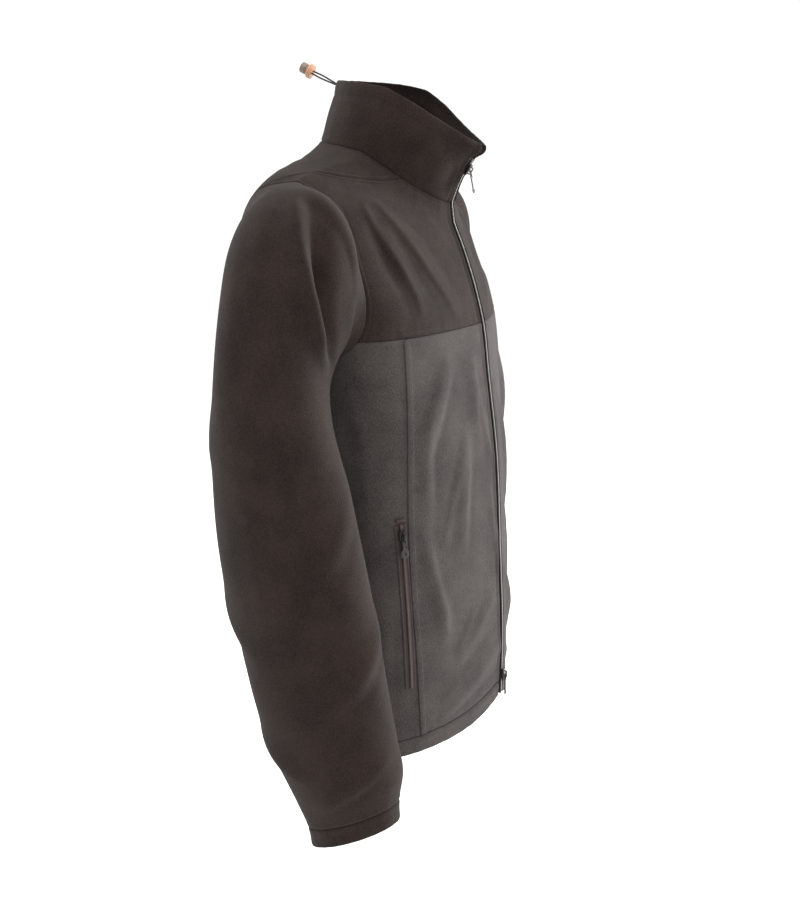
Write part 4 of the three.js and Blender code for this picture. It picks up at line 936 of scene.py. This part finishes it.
# %% [markdown]
# ### From a grid of places to a piece
# The surface gives each place a point, and the folds and creases lift it. The piece's own edges then
# shape it: distances are taken from the edge lines in space, with a search tree for each line. The
# outer face is set off along the normals of the creased grid, so the wall stays even.

# %% Cloth pieces
SIDES = {"right": -1, "left": 1}
CUTS = {}


def grid_normals(p, wrap, like):
    rows = np.gradient(p, axis=0)
    columns = (np.roll(p, -1, axis=1) - np.roll(p, 1, axis=1)) if wrap else np.gradient(p, axis=1)
    n = unit(np.cross(rows, columns))
    return n * np.sign((n * like).sum(axis=-1, keepdims=True))


def edge_line(p, side):
    return {"top": p[0], "bottom": p[-1], "left": p[:, 0], "right": p[:, -1]}[side]


def from_edge(p, side, wrap):
    """Distance of each point from one edge of its grid, and how far along that edge it is."""
    line = edge_line(p, side)
    if wrap:
        line = np.concatenate([line, line[:1]])
    run = np.concatenate([[0], np.cumsum(np.linalg.norm(np.diff(line, axis=0), axis=1))])
    at = np.linspace(0, run[-1], int(run[-1] / 0.6) + 2)
    dense = np.stack([np.interp(at, run, line[:, k]) for k in range(3)], axis=-1)
    tree = KDTree(len(dense))
    for i, point in enumerate(dense):
        tree.insert(point, i)
    tree.balance()
    found = [tree.find(point) for point in p.reshape(-1, 3)]
    far = np.array([hit[2] for hit in found]).reshape(p.shape[:2])
    return far + SEAM_GAP / 2, at[[hit[1] for hit in found]].reshape(p.shape[:2])


def lengths(p, axis, wrap=False):
    """Longest run of cloth across a grid of points, in metres."""
    if wrap:
        p = np.concatenate([p, p[:, :1]], axis=1)
    return np.linalg.norm(np.diff(p, axis=axis), axis=-1).sum(axis=axis).max() * MM


def half_surface(piece):
    return sum(face.area for face in piece.data.polygons) / 2


def cloth(name, base, normal, lift, edges, thick, material, slot, nodes, wrap=False):
    """A piece of cloth from its base points, their normals and the height of its creases."""
    p = base + normal * lift[..., None]
    ready = {side: from_edge(p, side, wrap) for side in edges}
    ripples = sum(
        PUCKER[style] * ripple(ready[side][1], ready[side][0], len(name) * 7 + k)
        for k, (side, style) in enumerate(edges.items())
    )
    p = p + normal * ripples[..., None]
    n = grid_normals(p, wrap, normal)
    sewn = sum(edge_height(style, ready[side][0]) for side, style in edges.items())
    left = np.ones(p.shape[:2])
    for side, style in edges.items():
        left = left * round_off(style, ready[side][0])
    inner = p + n * (sewn + thick * (1 - left) * 0.35)[..., None]
    outer = p + n * (sewn + thick * (0.65 + 0.35 * left) - thick * 0.35 * (1 - left))[..., None]
    piece = dress(shell(name, outer, inner, wrap), material, nodes)
    area = half_surface(piece)
    across, along_cut = lengths(outer, 1, wrap), lengths(outer, 0)
    across = max(across, area / along_cut)
    CUTS[name] = {"piece": piece, "outer": outer, "normal": n, "far": {s: ready[s][0] for s in ready}, "wrap": wrap}
    return piece


def body_piece(name, places, edges, thick, material, slot, sign=1, out=0):
    u, down = places[..., 0] * sign, places[..., 1]
    base, normal = body_base(u, down), body_normal(u, down)
    return cloth(name, base, normal, body_lift(u, down) + out, edges, thick, material, slot, [name])


# %% [markdown]
# ## Cutting the panels
# The lines between panels are the seams of the real jacket: zip edge, neck, shoulder, armhole, yoke,
# princess and side seams, and the stitch line of the hem. Each panel is filled in between four of them.

# %% Body panels
def zip_place(down):
    down = np.atleast_1d(np.asarray(down, float))
    low, high = np.zeros_like(down), np.full_like(down, 0.3)
    for _ in range(24):
        middle = (low + high) / 2
        inside = body_base(middle, down)[:, 0] < ZIP_HALF + SEAM_GAP / 2
        low, high = np.where(inside, middle, low), np.where(inside, high, middle)
    return np.stack([high, down], axis=-1)


def princess_place(down):
    down = np.atleast_1d(np.asarray(down, float))
    return np.stack([smooth(PRINCESS["down"], PRINCESS["u"], down), down], axis=-1)


def line_at(u, start, end):
    return np.stack([np.full(60, float(u)), np.linspace(start, end, 60)], axis=-1)


def turned(start, end):
    return armhole(np.linspace(start, end, 90))


def joined(*lines):
    return np.concatenate([np.atleast_2d(line) for line in lines])


def mirrored(line):
    return np.stack([2 - line[:, 0], line[:, 1]], axis=-1)


yoke_span = np.linspace(0, YOKE_DOWN, 80)
lower_span = np.linspace(YOKE_DOWN, HEM_DOWN, 120)
arm_top_back, arm_low_back = armhole(TURN["top_back"]), armhole(TURN["low_back"])
arm_low_front = armhole(TURN["low_front"])
shoulder_point = np.array([NECK_SHOULDER, 0.0])
zip_yoke, zip_low = zip_place(yoke_span), zip_place(lower_span)
princess_line = princess_place(lower_span)
side_back = line_at(SIDE_BACK, YOKE_DOWN, HEM_DOWN)

front_yoke_patch = patch(
    joined(zip_yoke[0], shoulder_point, arm_top_back),
    joined(zip_low[0], princess_line[0], arm_low_front),
    zip_yoke,
    turned(1 + TURN["top_back"], TURN["low_front"]),
)
front_patch = patch(
    joined(zip_low[0], princess_line[0]), joined(zip_low[-1], princess_line[-1]), zip_low, princess_line,
)
side_patch = patch(
    joined(princess_line[0], turned(TURN["low_front"], TURN["low_back"]), side_back[0]),
    joined(princess_line[-1], side_back[-1]),
    princess_line,
    side_back,
)
back_patch = patch(
    joined(side_back[0], mirrored(side_back)[0]), joined(side_back[-1], mirrored(side_back)[-1]),
    side_back, mirrored(side_back), coarse=4.2,
)
yoke_side = joined(shoulder_point, turned(TURN["top_back"], TURN["low_back"]))
back_yoke_patch = patch(
    joined(shoulder_point, mirrored(yoke_side)[0]),
    joined(arm_low_back, side_back[0], mirrored(side_back)[0], mirrored(yoke_side)[-1]),
    yoke_side,
    mirrored(yoke_side),
    coarse=4.2,
)
for side, sign in SIDES.items():
    body_piece(
        f"yoke-front-{side}", front_yoke_patch,
        {"top": "stitched", "bottom": "stitched", "left": "zip", "right": "stitched"},
        CLOTH, BLACK_FLEECE, "black_fleece", sign,
    )
    body_piece(
        f"front-{side}", front_patch, {"top": "plain", "bottom": "tuck", "left": "zip", "right": "plain"},
        CLOTH, GREY_FLEECE, "grey_fleece", sign,
    )
    body_piece(
        f"side-{side}", side_patch, {"top": "plain", "bottom": "tuck", "left": "plain", "right": "plain"},
        CLOTH, GREY_FLEECE, "grey_fleece", sign,
    )
body_piece(
    "back", back_patch, {"top": "plain", "bottom": "tuck", "left": "plain", "right": "plain"},
    CLOTH, GREY_FLEECE, "grey_fleece",
)
body_piece(
    "yoke-back", back_yoke_patch,
    {"top": "stitched", "bottom": "stitched", "left": "stitched", "right": "stitched"},
    CLOTH, BLACK_FLEECE, "black_fleece",
)

hem_low = zip_place([HEM_DOWN, END_DOWN])
hem_patch = patch(
    joined(hem_low[0], mirrored(hem_low)[0]), joined(hem_low[1], mirrored(hem_low)[1]),
    hem_low, mirrored(hem_low), coarse=4.0,
)
body_piece(
    "hem", hem_patch, {"top": "tuck", "bottom": "free", "left": "free", "right": "free"},
    HEM_CLOTH, GREY_FLEECE, "grey_fleece",
)
print("pieces so far:", sorted(CUTS))

# %% [markdown]
# ## Sleeves and cuffs
# A sleeve is a tube from the armhole to the cuff seam, and the cuff is a short tube of its own with a
# folded end. Both take turns round the tube and millimetres down it.

# %% Sleeves and cuffs
def round_tube(name, start, end, side, edges, coarse):
    sign = SIDES[side]
    count = int(SLEEVE_GIRTH / coarse)
    turn = np.arange(count) / count
    w = start + spread(end - start, coarse) * (end - start)
    turn, w = np.meshgrid(turn, w)
    base, normal = sleeve_base(turn, w, side), sleeve_normal(turn, w, side)
    for part in (base, normal):
        part[..., 0] *= sign
    lift = sleeve_lift(side)(turn, w)
    return cloth(name, base, normal, lift, edges, CLOTH, BLACK_FLEECE, "black_fleece", [name], wrap=True)


for side in SIDES:
    round_tube(f"sleeve-{side}", 0, SLEEVE_END, side, {"top": "plain", "bottom": "plain"}, 3.6)
    round_tube(f"cuff-{side}", SLEEVE_END, CUFF_END, side, {"top": "plain", "bottom": "free"}, 3.2)

# %% [markdown]
# ## Collar
# The collar stands on the neck seam. Its top is a fold with a line of stitching below it, which makes
# the channel that the drawcord runs in.

# %% Collar
collar_start = zip_yoke[0][0]
collar_length = 2 * (1 - collar_start) * COLLAR_GIRTH
collar_u = collar_start + spread(collar_length, 3.4) * 2 * (1 - collar_start)
collar_h = spread(COLLAR_RISE, 3.0)
collar_u, collar_h = np.meshgrid(collar_u, collar_h[::-1])
cloth(
    "collar", collar_base(collar_u, collar_h), collar_normal(collar_u, collar_h), collar_lift(collar_u, collar_h),
    {"top": "channel", "bottom": "plain", "left": "zip", "right": "zip"},
    COLLAR_CLOTH, BLACK_FLEECE, "black_fleece", ["collar"],
)

# %% [markdown]
# ## Raised bands over the princess seams
# A narrow folded strip covers each princess seam, sewn down along both its edges. It is a panel like the
# others, only 8 mm wide, and it lies on top of them.

# %% Princess bands
BAND_HALF, BAND_CLOTH = 4.0, 1.3
ON_CLOTH = CLOTH + LAY_GAP


def beside(line, across):
    """A line of places moved round the body by millimetres of cloth."""
    per_place = GIRTH_PER_HALF * smooth(BODY["down"], BODY["half"], line[:, 1])
    return np.stack([line[:, 0] + across / per_place, line[:, 1]], axis=-1)


band_line = princess_place(np.linspace(YOKE_DOWN + 1, HEM_DOWN - 1, 140))
band_front, band_back = beside(band_line, -BAND_HALF), beside(band_line, BAND_HALF)
band_patch = patch(
    joined(band_front[0], band_back[0]), joined(band_front[-1], band_back[-1]), band_front, band_back, coarse=3.0,
)
for side, sign in SIDES.items():
    body_piece(
        f"princess-band-{side}", band_patch, {"left": "band", "right": "band"},
        BAND_CLOTH, GREY_FLEECE, "grey_fleece", sign, out=ON_CLOTH,
    )

# %% [markdown]
# ## Growing things along lines with Geometry Nodes
# Stitches and zip teeth repeat along a path. Each path is a chain of edges that stores, at every point,
# which way is out of the cloth. A tree turns the chain into a curve, spaces points along it and turns a
# small shape at each one to face along the thread and out of the cloth. The result is made real and
# turned into a plain mesh.

# %% Trees and paths
class Tree(Graph):
    """A Geometry Nodes tree with named inputs. The first input and the only output are geometry."""

    SOCKETS = {"length": "NodeSocketFloat", "count": "NodeSocketInt", "size": "NodeSocketVector",
               "finish": "NodeSocketMaterial", "shape": "NodeSocketObject", "geometry": "NodeSocketGeometry"}

    def __init__(self, name, inputs):
        tree = bpy.data.node_groups.new(name, "GeometryNodeTree")
        super().__init__(tree)
        tree.interface.new_socket("Geometry", in_out="OUTPUT", socket_type=self.SOCKETS["geometry"])
        for label, kind in {"Geometry": "geometry", **inputs}.items():
            tree.interface.new_socket(label, in_out="INPUT", socket_type=self.SOCKETS[kind])
        group = tree.nodes.new("NodeGroupInput")
        self.given = {socket.name: Value(self, socket) for socket in group.outputs if socket.name}

    def hand_over(self, instances, material):
        real = self.node("GeometryNodeRealizeInstances", {}, [instances])
        shaded = self.node("GeometryNodeSetShadeSmooth", {}, [real])
        done = self.node("GeometryNodeSetMaterial", {}, {"Geometry": shaded, "Material": material})
        output = self.tree.nodes.new("NodeGroupOutput")
        self.put(output.inputs[0], done)
        return self.tree


def grown(name, source, tree, **given):
    """Runs a tree on a source object, and keeps only the plain mesh that comes out."""
    modifier = source.modifiers.new(tree.name, "NODES")
    modifier.node_group = tree
    for item in tree.interface.items_tree:
        key = item.name.lower().replace(" ", "_")
        if item.in_out == "INPUT" and key in given:
            modifier[item.identifier] = given[key]
    deps = bpy.context.evaluated_depsgraph_get()
    mesh = bpy.data.meshes.new_from_object(source.evaluated_get(deps), depsgraph=deps)
    mesh.name = name
    bpy.data.objects.remove(source)
    piece = bpy.data.objects.new(name, mesh)
    bpy.context.collection.objects.link(piece)
    return piece


def chains(lines):
    """Object of edges through each (points, out) line, with the way out stored on its points."""
    points = np.concatenate([points for points, _ in lines])
    ways = np.concatenate([out for _, out in lines])
    edges, start = [], 0
    for line, _ in lines:
        edges += [(start + k, start + k + 1) for k in range(len(line) - 1)]
        start += len(line)
    mesh = bpy.data.meshes.new("chain")
    mesh.from_pydata((points * MM).tolist(), edges, [])
    out = mesh.attributes.new("out", "FLOAT_VECTOR", "POINT")
    out.data.foreach_set("vector", ways.ravel())
    chain = bpy.data.objects.new("chain", mesh)
    bpy.context.collection.objects.link(chain)
    return chain


def spaced(tree, pitch):
    """Curve points at that pitch, and the turn that faces Z out of the cloth and X along the path."""
    curve = tree.node("GeometryNodeMeshToCurve", {}, [tree.given["Geometry"]])
    even = tree.node("GeometryNodeResampleCurve", {"mode": "LENGTH"}, {"Curve": curve, "Length": pitch})
    out = tree.node("GeometryNodeInputNamedAttribute", {"data_type": "FLOAT_VECTOR"}, {"Name": "out"})
    way = tree.node("GeometryNodeInputTangent")
    axes = {"primary_axis": "Z", "secondary_axis": "X"}
    return even, tree.node("FunctionNodeAxesToRotation", axes, {"Primary Axis": out, "Secondary Axis": way})


def stitch_tree():
    tree = Tree("topstitch", {"Pitch": "length", "Half Size": "size", "Thread": "finish"})
    points, turn = spaced(tree, tree.given["Pitch"])
    bead = tree.node("GeometryNodeMeshIcoSphere", {}, {"Radius": 1.0, "Subdivisions": 1})
    where = {"Points": points, "Instance": bead, "Rotation": turn, "Scale": tree.given["Half Size"]}
    return tree.hand_over(tree.node("GeometryNodeInstanceOnPoints", {}, where), tree.given["Thread"])


# %% [markdown]
# ## Topstitching
# The rows of thread run beside the seams, 6 mm from the neck, shoulder, armhole and yoke seams, along the
# zip's edges, the bands and the hem, and below the drawcord's channel. A row follows the places of the
# outer face that lie at that distance from the seam. Each stitch is a bead of 3 mm, sunk in the nap.

# %% Rows of stitches
STITCH_PITCH, STITCH_HALF = 3.1, (1.25, 0.26, 0.22)
THREAD_SUNK = 0.05


def stitch_line(name, side, distance, sunk=THREAD_SUNK):
    cut = CUTS[name]
    outer, normal, far = cut["outer"], cut["normal"], cut["far"][side]
    if side in ("left", "right"):
        outer, normal, far = outer.swapaxes(0, 1), normal.swapaxes(0, 1), far.T
    if side in ("bottom", "right"):
        outer, normal, far = outer[::-1], normal[::-1], far[::-1]
    row = np.maximum(np.argmax(far >= distance, axis=0), 1)
    column = np.arange(far.shape[1])
    before, after = far[row - 1, column], far[row, column]
    share = np.clip((distance - before) / (after - before), 0, 1)[:, None]
    points = outer[row - 1, column] * (1 - share) + outer[row, column] * share
    out = unit(normal[row - 1, column] * (1 - share) + normal[row, column] * share)
    reached = (far >= distance).any(axis=0)
    return points[reached] - out[reached] * sunk, out[reached]


def make_stitches(name, material, lines):
    source = chains([stitch_line(*line) for line in lines])
    piece = grown(
        name, source, topstitch, pitch=STITCH_PITCH * MM, half_size=[v * MM for v in STITCH_HALF], thread=material,
    )
    dress(piece, material)
    print(name, "has", len(piece.data.polygons) // 20, "stitches")


topstitch = stitch_tree()
BLACK_THREAD = plain("black thread", (34, 27, 25), 0.8, grain=3000)
GREY_THREAD = plain("grey thread", (60, 55, 55), 0.8, grain=3000)
black_rows = [("yoke-back", side, STITCH_AT["seam"]) for side in ("top", "bottom", "left", "right")]
black_rows.append(("collar", "top", STITCH_AT["channel"]))
black_rows += [("collar", edge, STITCH_AT["zip"]) for edge in ("left", "right")]
grey_rows = [("back", "bottom", STITCH_AT["hem"])]
for side in SIDES:
    black_rows += [(f"yoke-front-{side}", edge, STITCH_AT["seam"]) for edge in ("top", "bottom", "right")]
    black_rows.append((f"yoke-front-{side}", "left", STITCH_AT["zip"]))
    grey_rows += [(f"princess-band-{side}", edge, STITCH_AT["band"]) for edge in ("left", "right")]
    grey_rows.append((f"front-{side}", "left", STITCH_AT["zip"]))
    grey_rows += [(f"{panel}-{side}", "bottom", STITCH_AT["hem"]) for panel in ("front", "side")]
make_stitches("topstitch-black", BLACK_THREAD, black_rows)
make_stitches("topstitch-grey", GREY_THREAD, grey_rows)

# %% [markdown]
# ## The front zip
# A moulded zip has two woven tapes. Each tape's inner edge is a cord, and the teeth are moulded round
# it, so that teeth from both sides take turns in the closed chain. The tapes are sections carried along
# the zip's path, and the teeth grow along it, every other one turned round.

# %% Front zip
ZIP_TOP_SHARE = 0.76
TOOTH_PITCH = 1.35


def zip_path():
    """Points up the middle of the front zip, and the way out at each."""
    h = np.linspace(ZIP_TOP_SHARE, 0, 36, endpoint=False)
    down = np.linspace(0, END_DOWN, 330)
    points = np.concatenate([collar_base(0, h), body_base(0, down)])
    points[:, 0] = 0
    for _ in range(6):
        points[1:-1] = (points[:-2] + 2 * points[1:-1] + points[2:]) / 4
    out = unit(np.cross([1.0, 0, 0], -np.gradient(points, axis=0)))
    return points, out


def swept(path, across, out, section):
    """Points and faces of a closed section of (across, out) pairs carried along a path."""
    section = np.asarray(section, float)
    points = path[:, None] + across[:, None] * section[:, :1] + out[:, None] * section[:, 1:]
    count = len(section)
    faces = grid_faces(len(path), count, True).tolist()
    last = (len(path) - 1) * count
    faces += [list(range(count))[::-1], [last + k for k in range(count)]]
    return points.reshape(-1, 3), faces


def merged(parts):
    """Points and faces of several (points, faces) parts together."""
    faces, start = [], 0
    for points, part_faces in parts:
        faces += [[start + k for k in face] for face in part_faces]
        start += len(points)
    return np.concatenate([points for points, _ in parts]), faces


def one_piece(name, parts):
    """One piece from several parts, all facing out."""
    return facing_out(new_piece(name, *merged(parts)))


def tape_section(half, inner, thick, cord):
    """Half a tape: flat, a little thinner at its outer edge, with a cord along its inner edge."""
    return [
        (half, 0.1), (half, thick * 0.6), (half - 0.5, thick * 0.8), (inner + 2 * cord, thick),
        (inner + 1.7 * cord, thick + cord), (inner + cord, thick + 1.4 * cord), (inner, thick + 0.8 * cord),
        (inner, 0.1),
    ]


def both_tapes(name, path, across, out, section):
    mirror = [(-x, y) for x, y in section]
    return one_piece(name, [swept(path, across, out, section), swept(path, across, out, mirror)])


def tooth(length, width, height, reach):
    """A moulded tooth: a block with softened edges that reaches over the middle to one side."""
    mesh = bmesh.new()
    bmesh.ops.create_cube(mesh, size=1)
    for vert in mesh.verts:
        x, y, z = vert.co
        taper = 0.75 if y > 0 else 1.0
        vert.co = Vector((x * length * taper, y * width + reach, (z + 0.5) * height)) * MM
    bmesh.ops.bevel(mesh, geom=mesh.edges[:], offset=length * 0.2 * MM, segments=1, affect="EDGES")
    data = bpy.data.meshes.new("tooth")
    mesh.to_mesh(data)
    mesh.free()
    return bpy.data.objects.new("tooth", data)


def chain_tree():
    tree = Tree("zip chain", {"Pitch": "length", "Tooth": "shape", "Plastic": "finish"})
    points, turn = spaced(tree, tree.given["Pitch"])
    shape = tree.node("GeometryNodeObjectInfo", {}, {"Object": tree.given["Tooth"]}, output="Geometry")
    parity = tree.node("ShaderNodeMath", {"operation": "MODULO"}, [tree.node("GeometryNodeInputIndex"), 2.0])
    half_turn = tree.node("ShaderNodeCombineXYZ", {}, {"Z": parity * math.pi})
    swap = tree.node("FunctionNodeEulerToRotation", {}, [half_turn])
    turned_round = tree.node(
        "FunctionNodeRotateRotation", {"rotation_space": "LOCAL"}, {"Rotation": turn, "Rotate By": swap},
    )
    where = {"Points": points, "Instance": shape, "Rotation": turned_round}
    return tree.hand_over(tree.node("GeometryNodeInstanceOnPoints", {}, where), tree.given["Plastic"])


def make_teeth(name, path, out, lift, pitch, shape, material):
    source = chains([(path + out * lift, out)])
    piece = grown(name, source, zip_chain, pitch=pitch * MM, tooth=shape, plastic=material)
    bpy.data.objects.remove(shape)
    dress(piece, material)
    print(name, "has", len(piece.data.polygons) // 26, "teeth")


zip_chain = chain_tree()
TOOTH_PLASTIC = plain("zip tooth plastic", (58, 50, 46), 0.35, grain=700)
front_path, front_out = zip_path()
front_across = np.tile([1.0, 0, 0], (len(front_path), 1))
front_tapes = both_tapes("zip-tapes", front_path, front_across, front_out, tape_section(ZIP_HALF, 0.3, 0.9, 0.55))
dress(front_tapes, ZIP_TAPE, ["front-zip"])
make_teeth("zip-teeth", front_path, front_out, 1.0, TOOTH_PITCH, tooth(1.5, 4.2, 2.2, 0.6), TOOTH_PLASTIC)

# %% [markdown]
# ## Pocket zips
# Each pocket closes with a fine brown zip in a slit just behind the princess seam. Its tape is sunk
# between two soft lips, and a small stitched stop covers its upper end.

# %% Pocket zips
POCKET = {"top": 488, "bottom": 660, "u_top": 0.346, "u_bottom": 0.333}
POCKET_PITCH = 0.85
ZIP_BROWN = plain("brown zip tape", (56, 40, 35), 0.8, grain=1800, depth=0.0002)
COIL_BROWN = plain("brown coil", (66, 49, 43), 0.5, grain=900)


def pocket_path(sign):
    down = np.linspace(POCKET["top"], POCKET["bottom"], 120)
    share = (down - POCKET["top"]) / (POCKET["bottom"] - POCKET["top"])
    u = sign * (POCKET["u_top"] + (POCKET["u_bottom"] - POCKET["u_top"]) * share)
    out = body_normal(u, down)
    points = body_base(u, down) + out * (body_lift(u, down) + ON_CLOTH)[:, None]
    return points, unit(np.cross(-np.gradient(points, axis=0), out)), out


def lip(inner, outer, height):
    """A soft rounded lip of cloth beside the zip."""
    turn = np.linspace(0, math.pi, 9)
    middle, half = (inner + outer) / 2, (outer - inner) / 2
    return [(middle + half * math.cos(a), height * math.sin(a) - 0.2) for a in turn]


for side, sign in SIDES.items():
    path, across, out = pocket_path(sign)
    tapes = both_tapes(f"pocket-tapes-{side}", path, across, out, tape_section(5.2, 0.15, 0.5, 0.35))
    dress(tapes, ZIP_BROWN, [f"pocket-zip-{side}"])
    shape = tooth(0.75, 2.6, 1.3, 0.25)
    make_teeth(f"pocket-coil-{side}", path, out, 0.75, POCKET_PITCH, shape, COIL_BROWN)
    section = lip(4.6, 7.2, 1.0)
    lips = both_tapes(f"pocket-lips-{side}", path, across, out, section)
    dress(lips, GREY_FLEECE)

# %% [markdown]
# ## Sliders, pulls and stops
# These are hard parts with true shapes in the model. A copy of each is cleaned up: its doubled points are
# joined, its flat triangles become faces again, and every sharp edge gets a small round, which is what
# catches the light on a cast or moulded part.

# %% Sliders, pulls and stops
def softened(node, width, material, body=CLOTHING, segments=2):
    source = bmesh.new()
    source.from_mesh(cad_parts[node].data)
    bmesh.ops.remove_doubles(source, verts=source.verts, dist=2e-6)
    bmesh.ops.dissolve_limit(source, angle_limit=math.radians(2), verts=source.verts, edges=source.edges)
    sharp = [edge for edge in source.edges if edge.calc_face_angle(0) > math.radians(25)]
    bmesh.ops.bevel(
        source, geom=sharp, offset=width * MM, segments=segments, profile=0.5, affect="EDGES", clamp_overlap=True,
    )
    bmesh.ops.recalc_face_normals(source, faces=source.faces)
    mesh = bpy.data.meshes.new(f"{node}-finished")
    source.to_mesh(mesh)
    source.free()
    mesh.shade_smooth()
    mesh.set_sharp_from_angle(angle=math.radians(35))
    piece = bpy.data.objects.new(f"{node}-finished", mesh)
    bpy.context.collection.objects.link(piece)
    return dress(piece, material, [node], body)


PULLS = {
    "front-top": "front_top_pull", "front-low": "front_low_pull",
    "pocket-right": "pocket_right_pull", "pocket-left": "pocket_left_pull",
}
for name, body in PULLS.items():
    softened(f"{name}-slider", 0.22, ENAMEL)
    softened(f"{name}-pull", 0.16, ZIP_PLASTIC, body)
for side in SIDES:
    softened(f"pocket-garage-{side}", 0.6, ZIP_BROWN, segments=3)

# %% [markdown]
# ## Lint
# Fleece gathers lint and its nap balls up a little with wear. A few hundred pale specks, scattered by
# Geometry Nodes with a fixed seed, lie on the outer faces.

# %% Lint
def lint_tree():
    tree = Tree("lint", {"Density": "length", "Seed": "count", "Speck": "length", "Fluff": "finish"})
    spots = {"Mesh": tree.given["Geometry"], "Density": tree.given["Density"], "Seed": tree.given["Seed"]}
    points = tree.node("GeometryNodeDistributePointsOnFaces", {}, spots)
    speck = tree.node("GeometryNodeMeshIcoSphere", {}, {"Radius": tree.given["Speck"], "Subdivisions": 1})
    turn = tree.node(
        "FunctionNodeRandomValue", {"data_type": "FLOAT_VECTOR"}, {"Min": (0, 0, 0), "Max": (6.28, 6.28, 6.28)},
    )
    size = tree.node(
        "FunctionNodeRandomValue", {"data_type": "FLOAT_VECTOR"}, {"Min": (0.5, 0.3, 0.3), "Max": (2.2, 0.7, 0.7)},
    )
    where = {"Points": points, "Instance": speck, "Rotation": turn, "Scale": size}
    return tree.hand_over(tree.node("GeometryNodeInstanceOnPoints", {}, where), tree.given["Fluff"])


def outer_faces(names):
    """Object of the outer faces of some cut pieces, for things that lie on them."""
    parts = []
    for name in names:
        outer, normal = CUTS[name]["outer"], CUTS[name]["normal"]
        rows, columns = outer.shape[:2]
        faces = grid_faces(rows, columns, CUTS[name]["wrap"]).tolist()
        parts.append(((outer + normal * 0.15).reshape(-1, 3), faces))
    return new_piece("outer faces", *merged(parts))


LINT_PER_SQUARE_METRE, LINT_SEED, SPECK = 320, 11, 0.00022
FLUFF = plain("pale lint", (112, 106, 100), 0.95, grain=3000)
fabric = [name for name in CUTS if not name.startswith("princess")]
lint = grown(
    "lint", outer_faces(fabric), lint_tree(),
    density=float(LINT_PER_SQUARE_METRE), seed=LINT_SEED, speck=SPECK, fluff=FLUFF,
)
dress(lint, FLUFF)
print("specks of lint:", len(lint.data.polygons) // 20)

# %% [markdown]
# ## Studio
# The photograph was taken against a bright background with soft light from behind and both sides, and
# little from the camera. The floor is pale and plain.

# %% Floor and light
FLOOR_HALF, FLOOR_LEVEL = 9000, -900


def area_light(name, place, aim, size, watts):
    data = bpy.data.lights.new(name, "AREA")
    data.shape = "RECTANGLE"
    data.size, data.size_y = size
    data.energy = watts
    light = bpy.data.objects.new(name, data)
    light.location = place
    way = Vector(aim) - Vector(place)
    light.rotation_euler = way.to_track_quat("-Z", "Y").to_euler()
    bpy.context.collection.objects.link(light)


def make_studio():
    corners = [(-FLOOR_HALF, -FLOOR_HALF), (FLOOR_HALF, -FLOOR_HALF), (FLOOR_HALF, FLOOR_HALF),
    (-FLOOR_HALF, FLOOR_HALF)]
    floor = new_piece("floor", [(x, y, FLOOR_LEVEL) for x, y in corners], [[0, 1, 2, 3]])
    paint = Finish("pale floor")
    floor.data.materials.append(paint.finish(
        Base_Color=paint.mix(paint.noise(0.8), (0.96, 0.96, 0.95, 1), (0.98, 0.98, 0.97, 1)), Roughness=0.9,
    ))
    world = bpy.data.worlds.new("white")
    bpy.context.scene.world = world
    world.use_nodes = True
    graph = Graph(world.node_tree)
    sky = graph.node("ShaderNodeBackground", {}, {"Color": (1, 1, 1, 1), "Strength": 1.05})
    seen = graph.node("ShaderNodeBackground", {}, {"Color": (1, 1, 1, 1), "Strength": 1.1})
    ray = graph.node("ShaderNodeLightPath", output="Is Camera Ray")
    mixed = graph.node("ShaderNodeMixShader", {}, [ray, sky, seen])
    graph.put(world.node_tree.nodes["World Output"].inputs["Surface"], mixed)
    area_light("front side", (2.2, -1.9, 0.5), (0, 0, -0.3), (1.6, 2.0), 140)
    area_light("back side", (0.6, 2.4, 0.6), (0, 0, -0.3), (1.6, 2.0), 30)
    area_light("top", (-0.6, 0, 2.2), (0, 0, -0.3), (2.0, 2.0), 45)
    bpy.context.scene.view_settings.view_transform = "Standard"


make_studio()
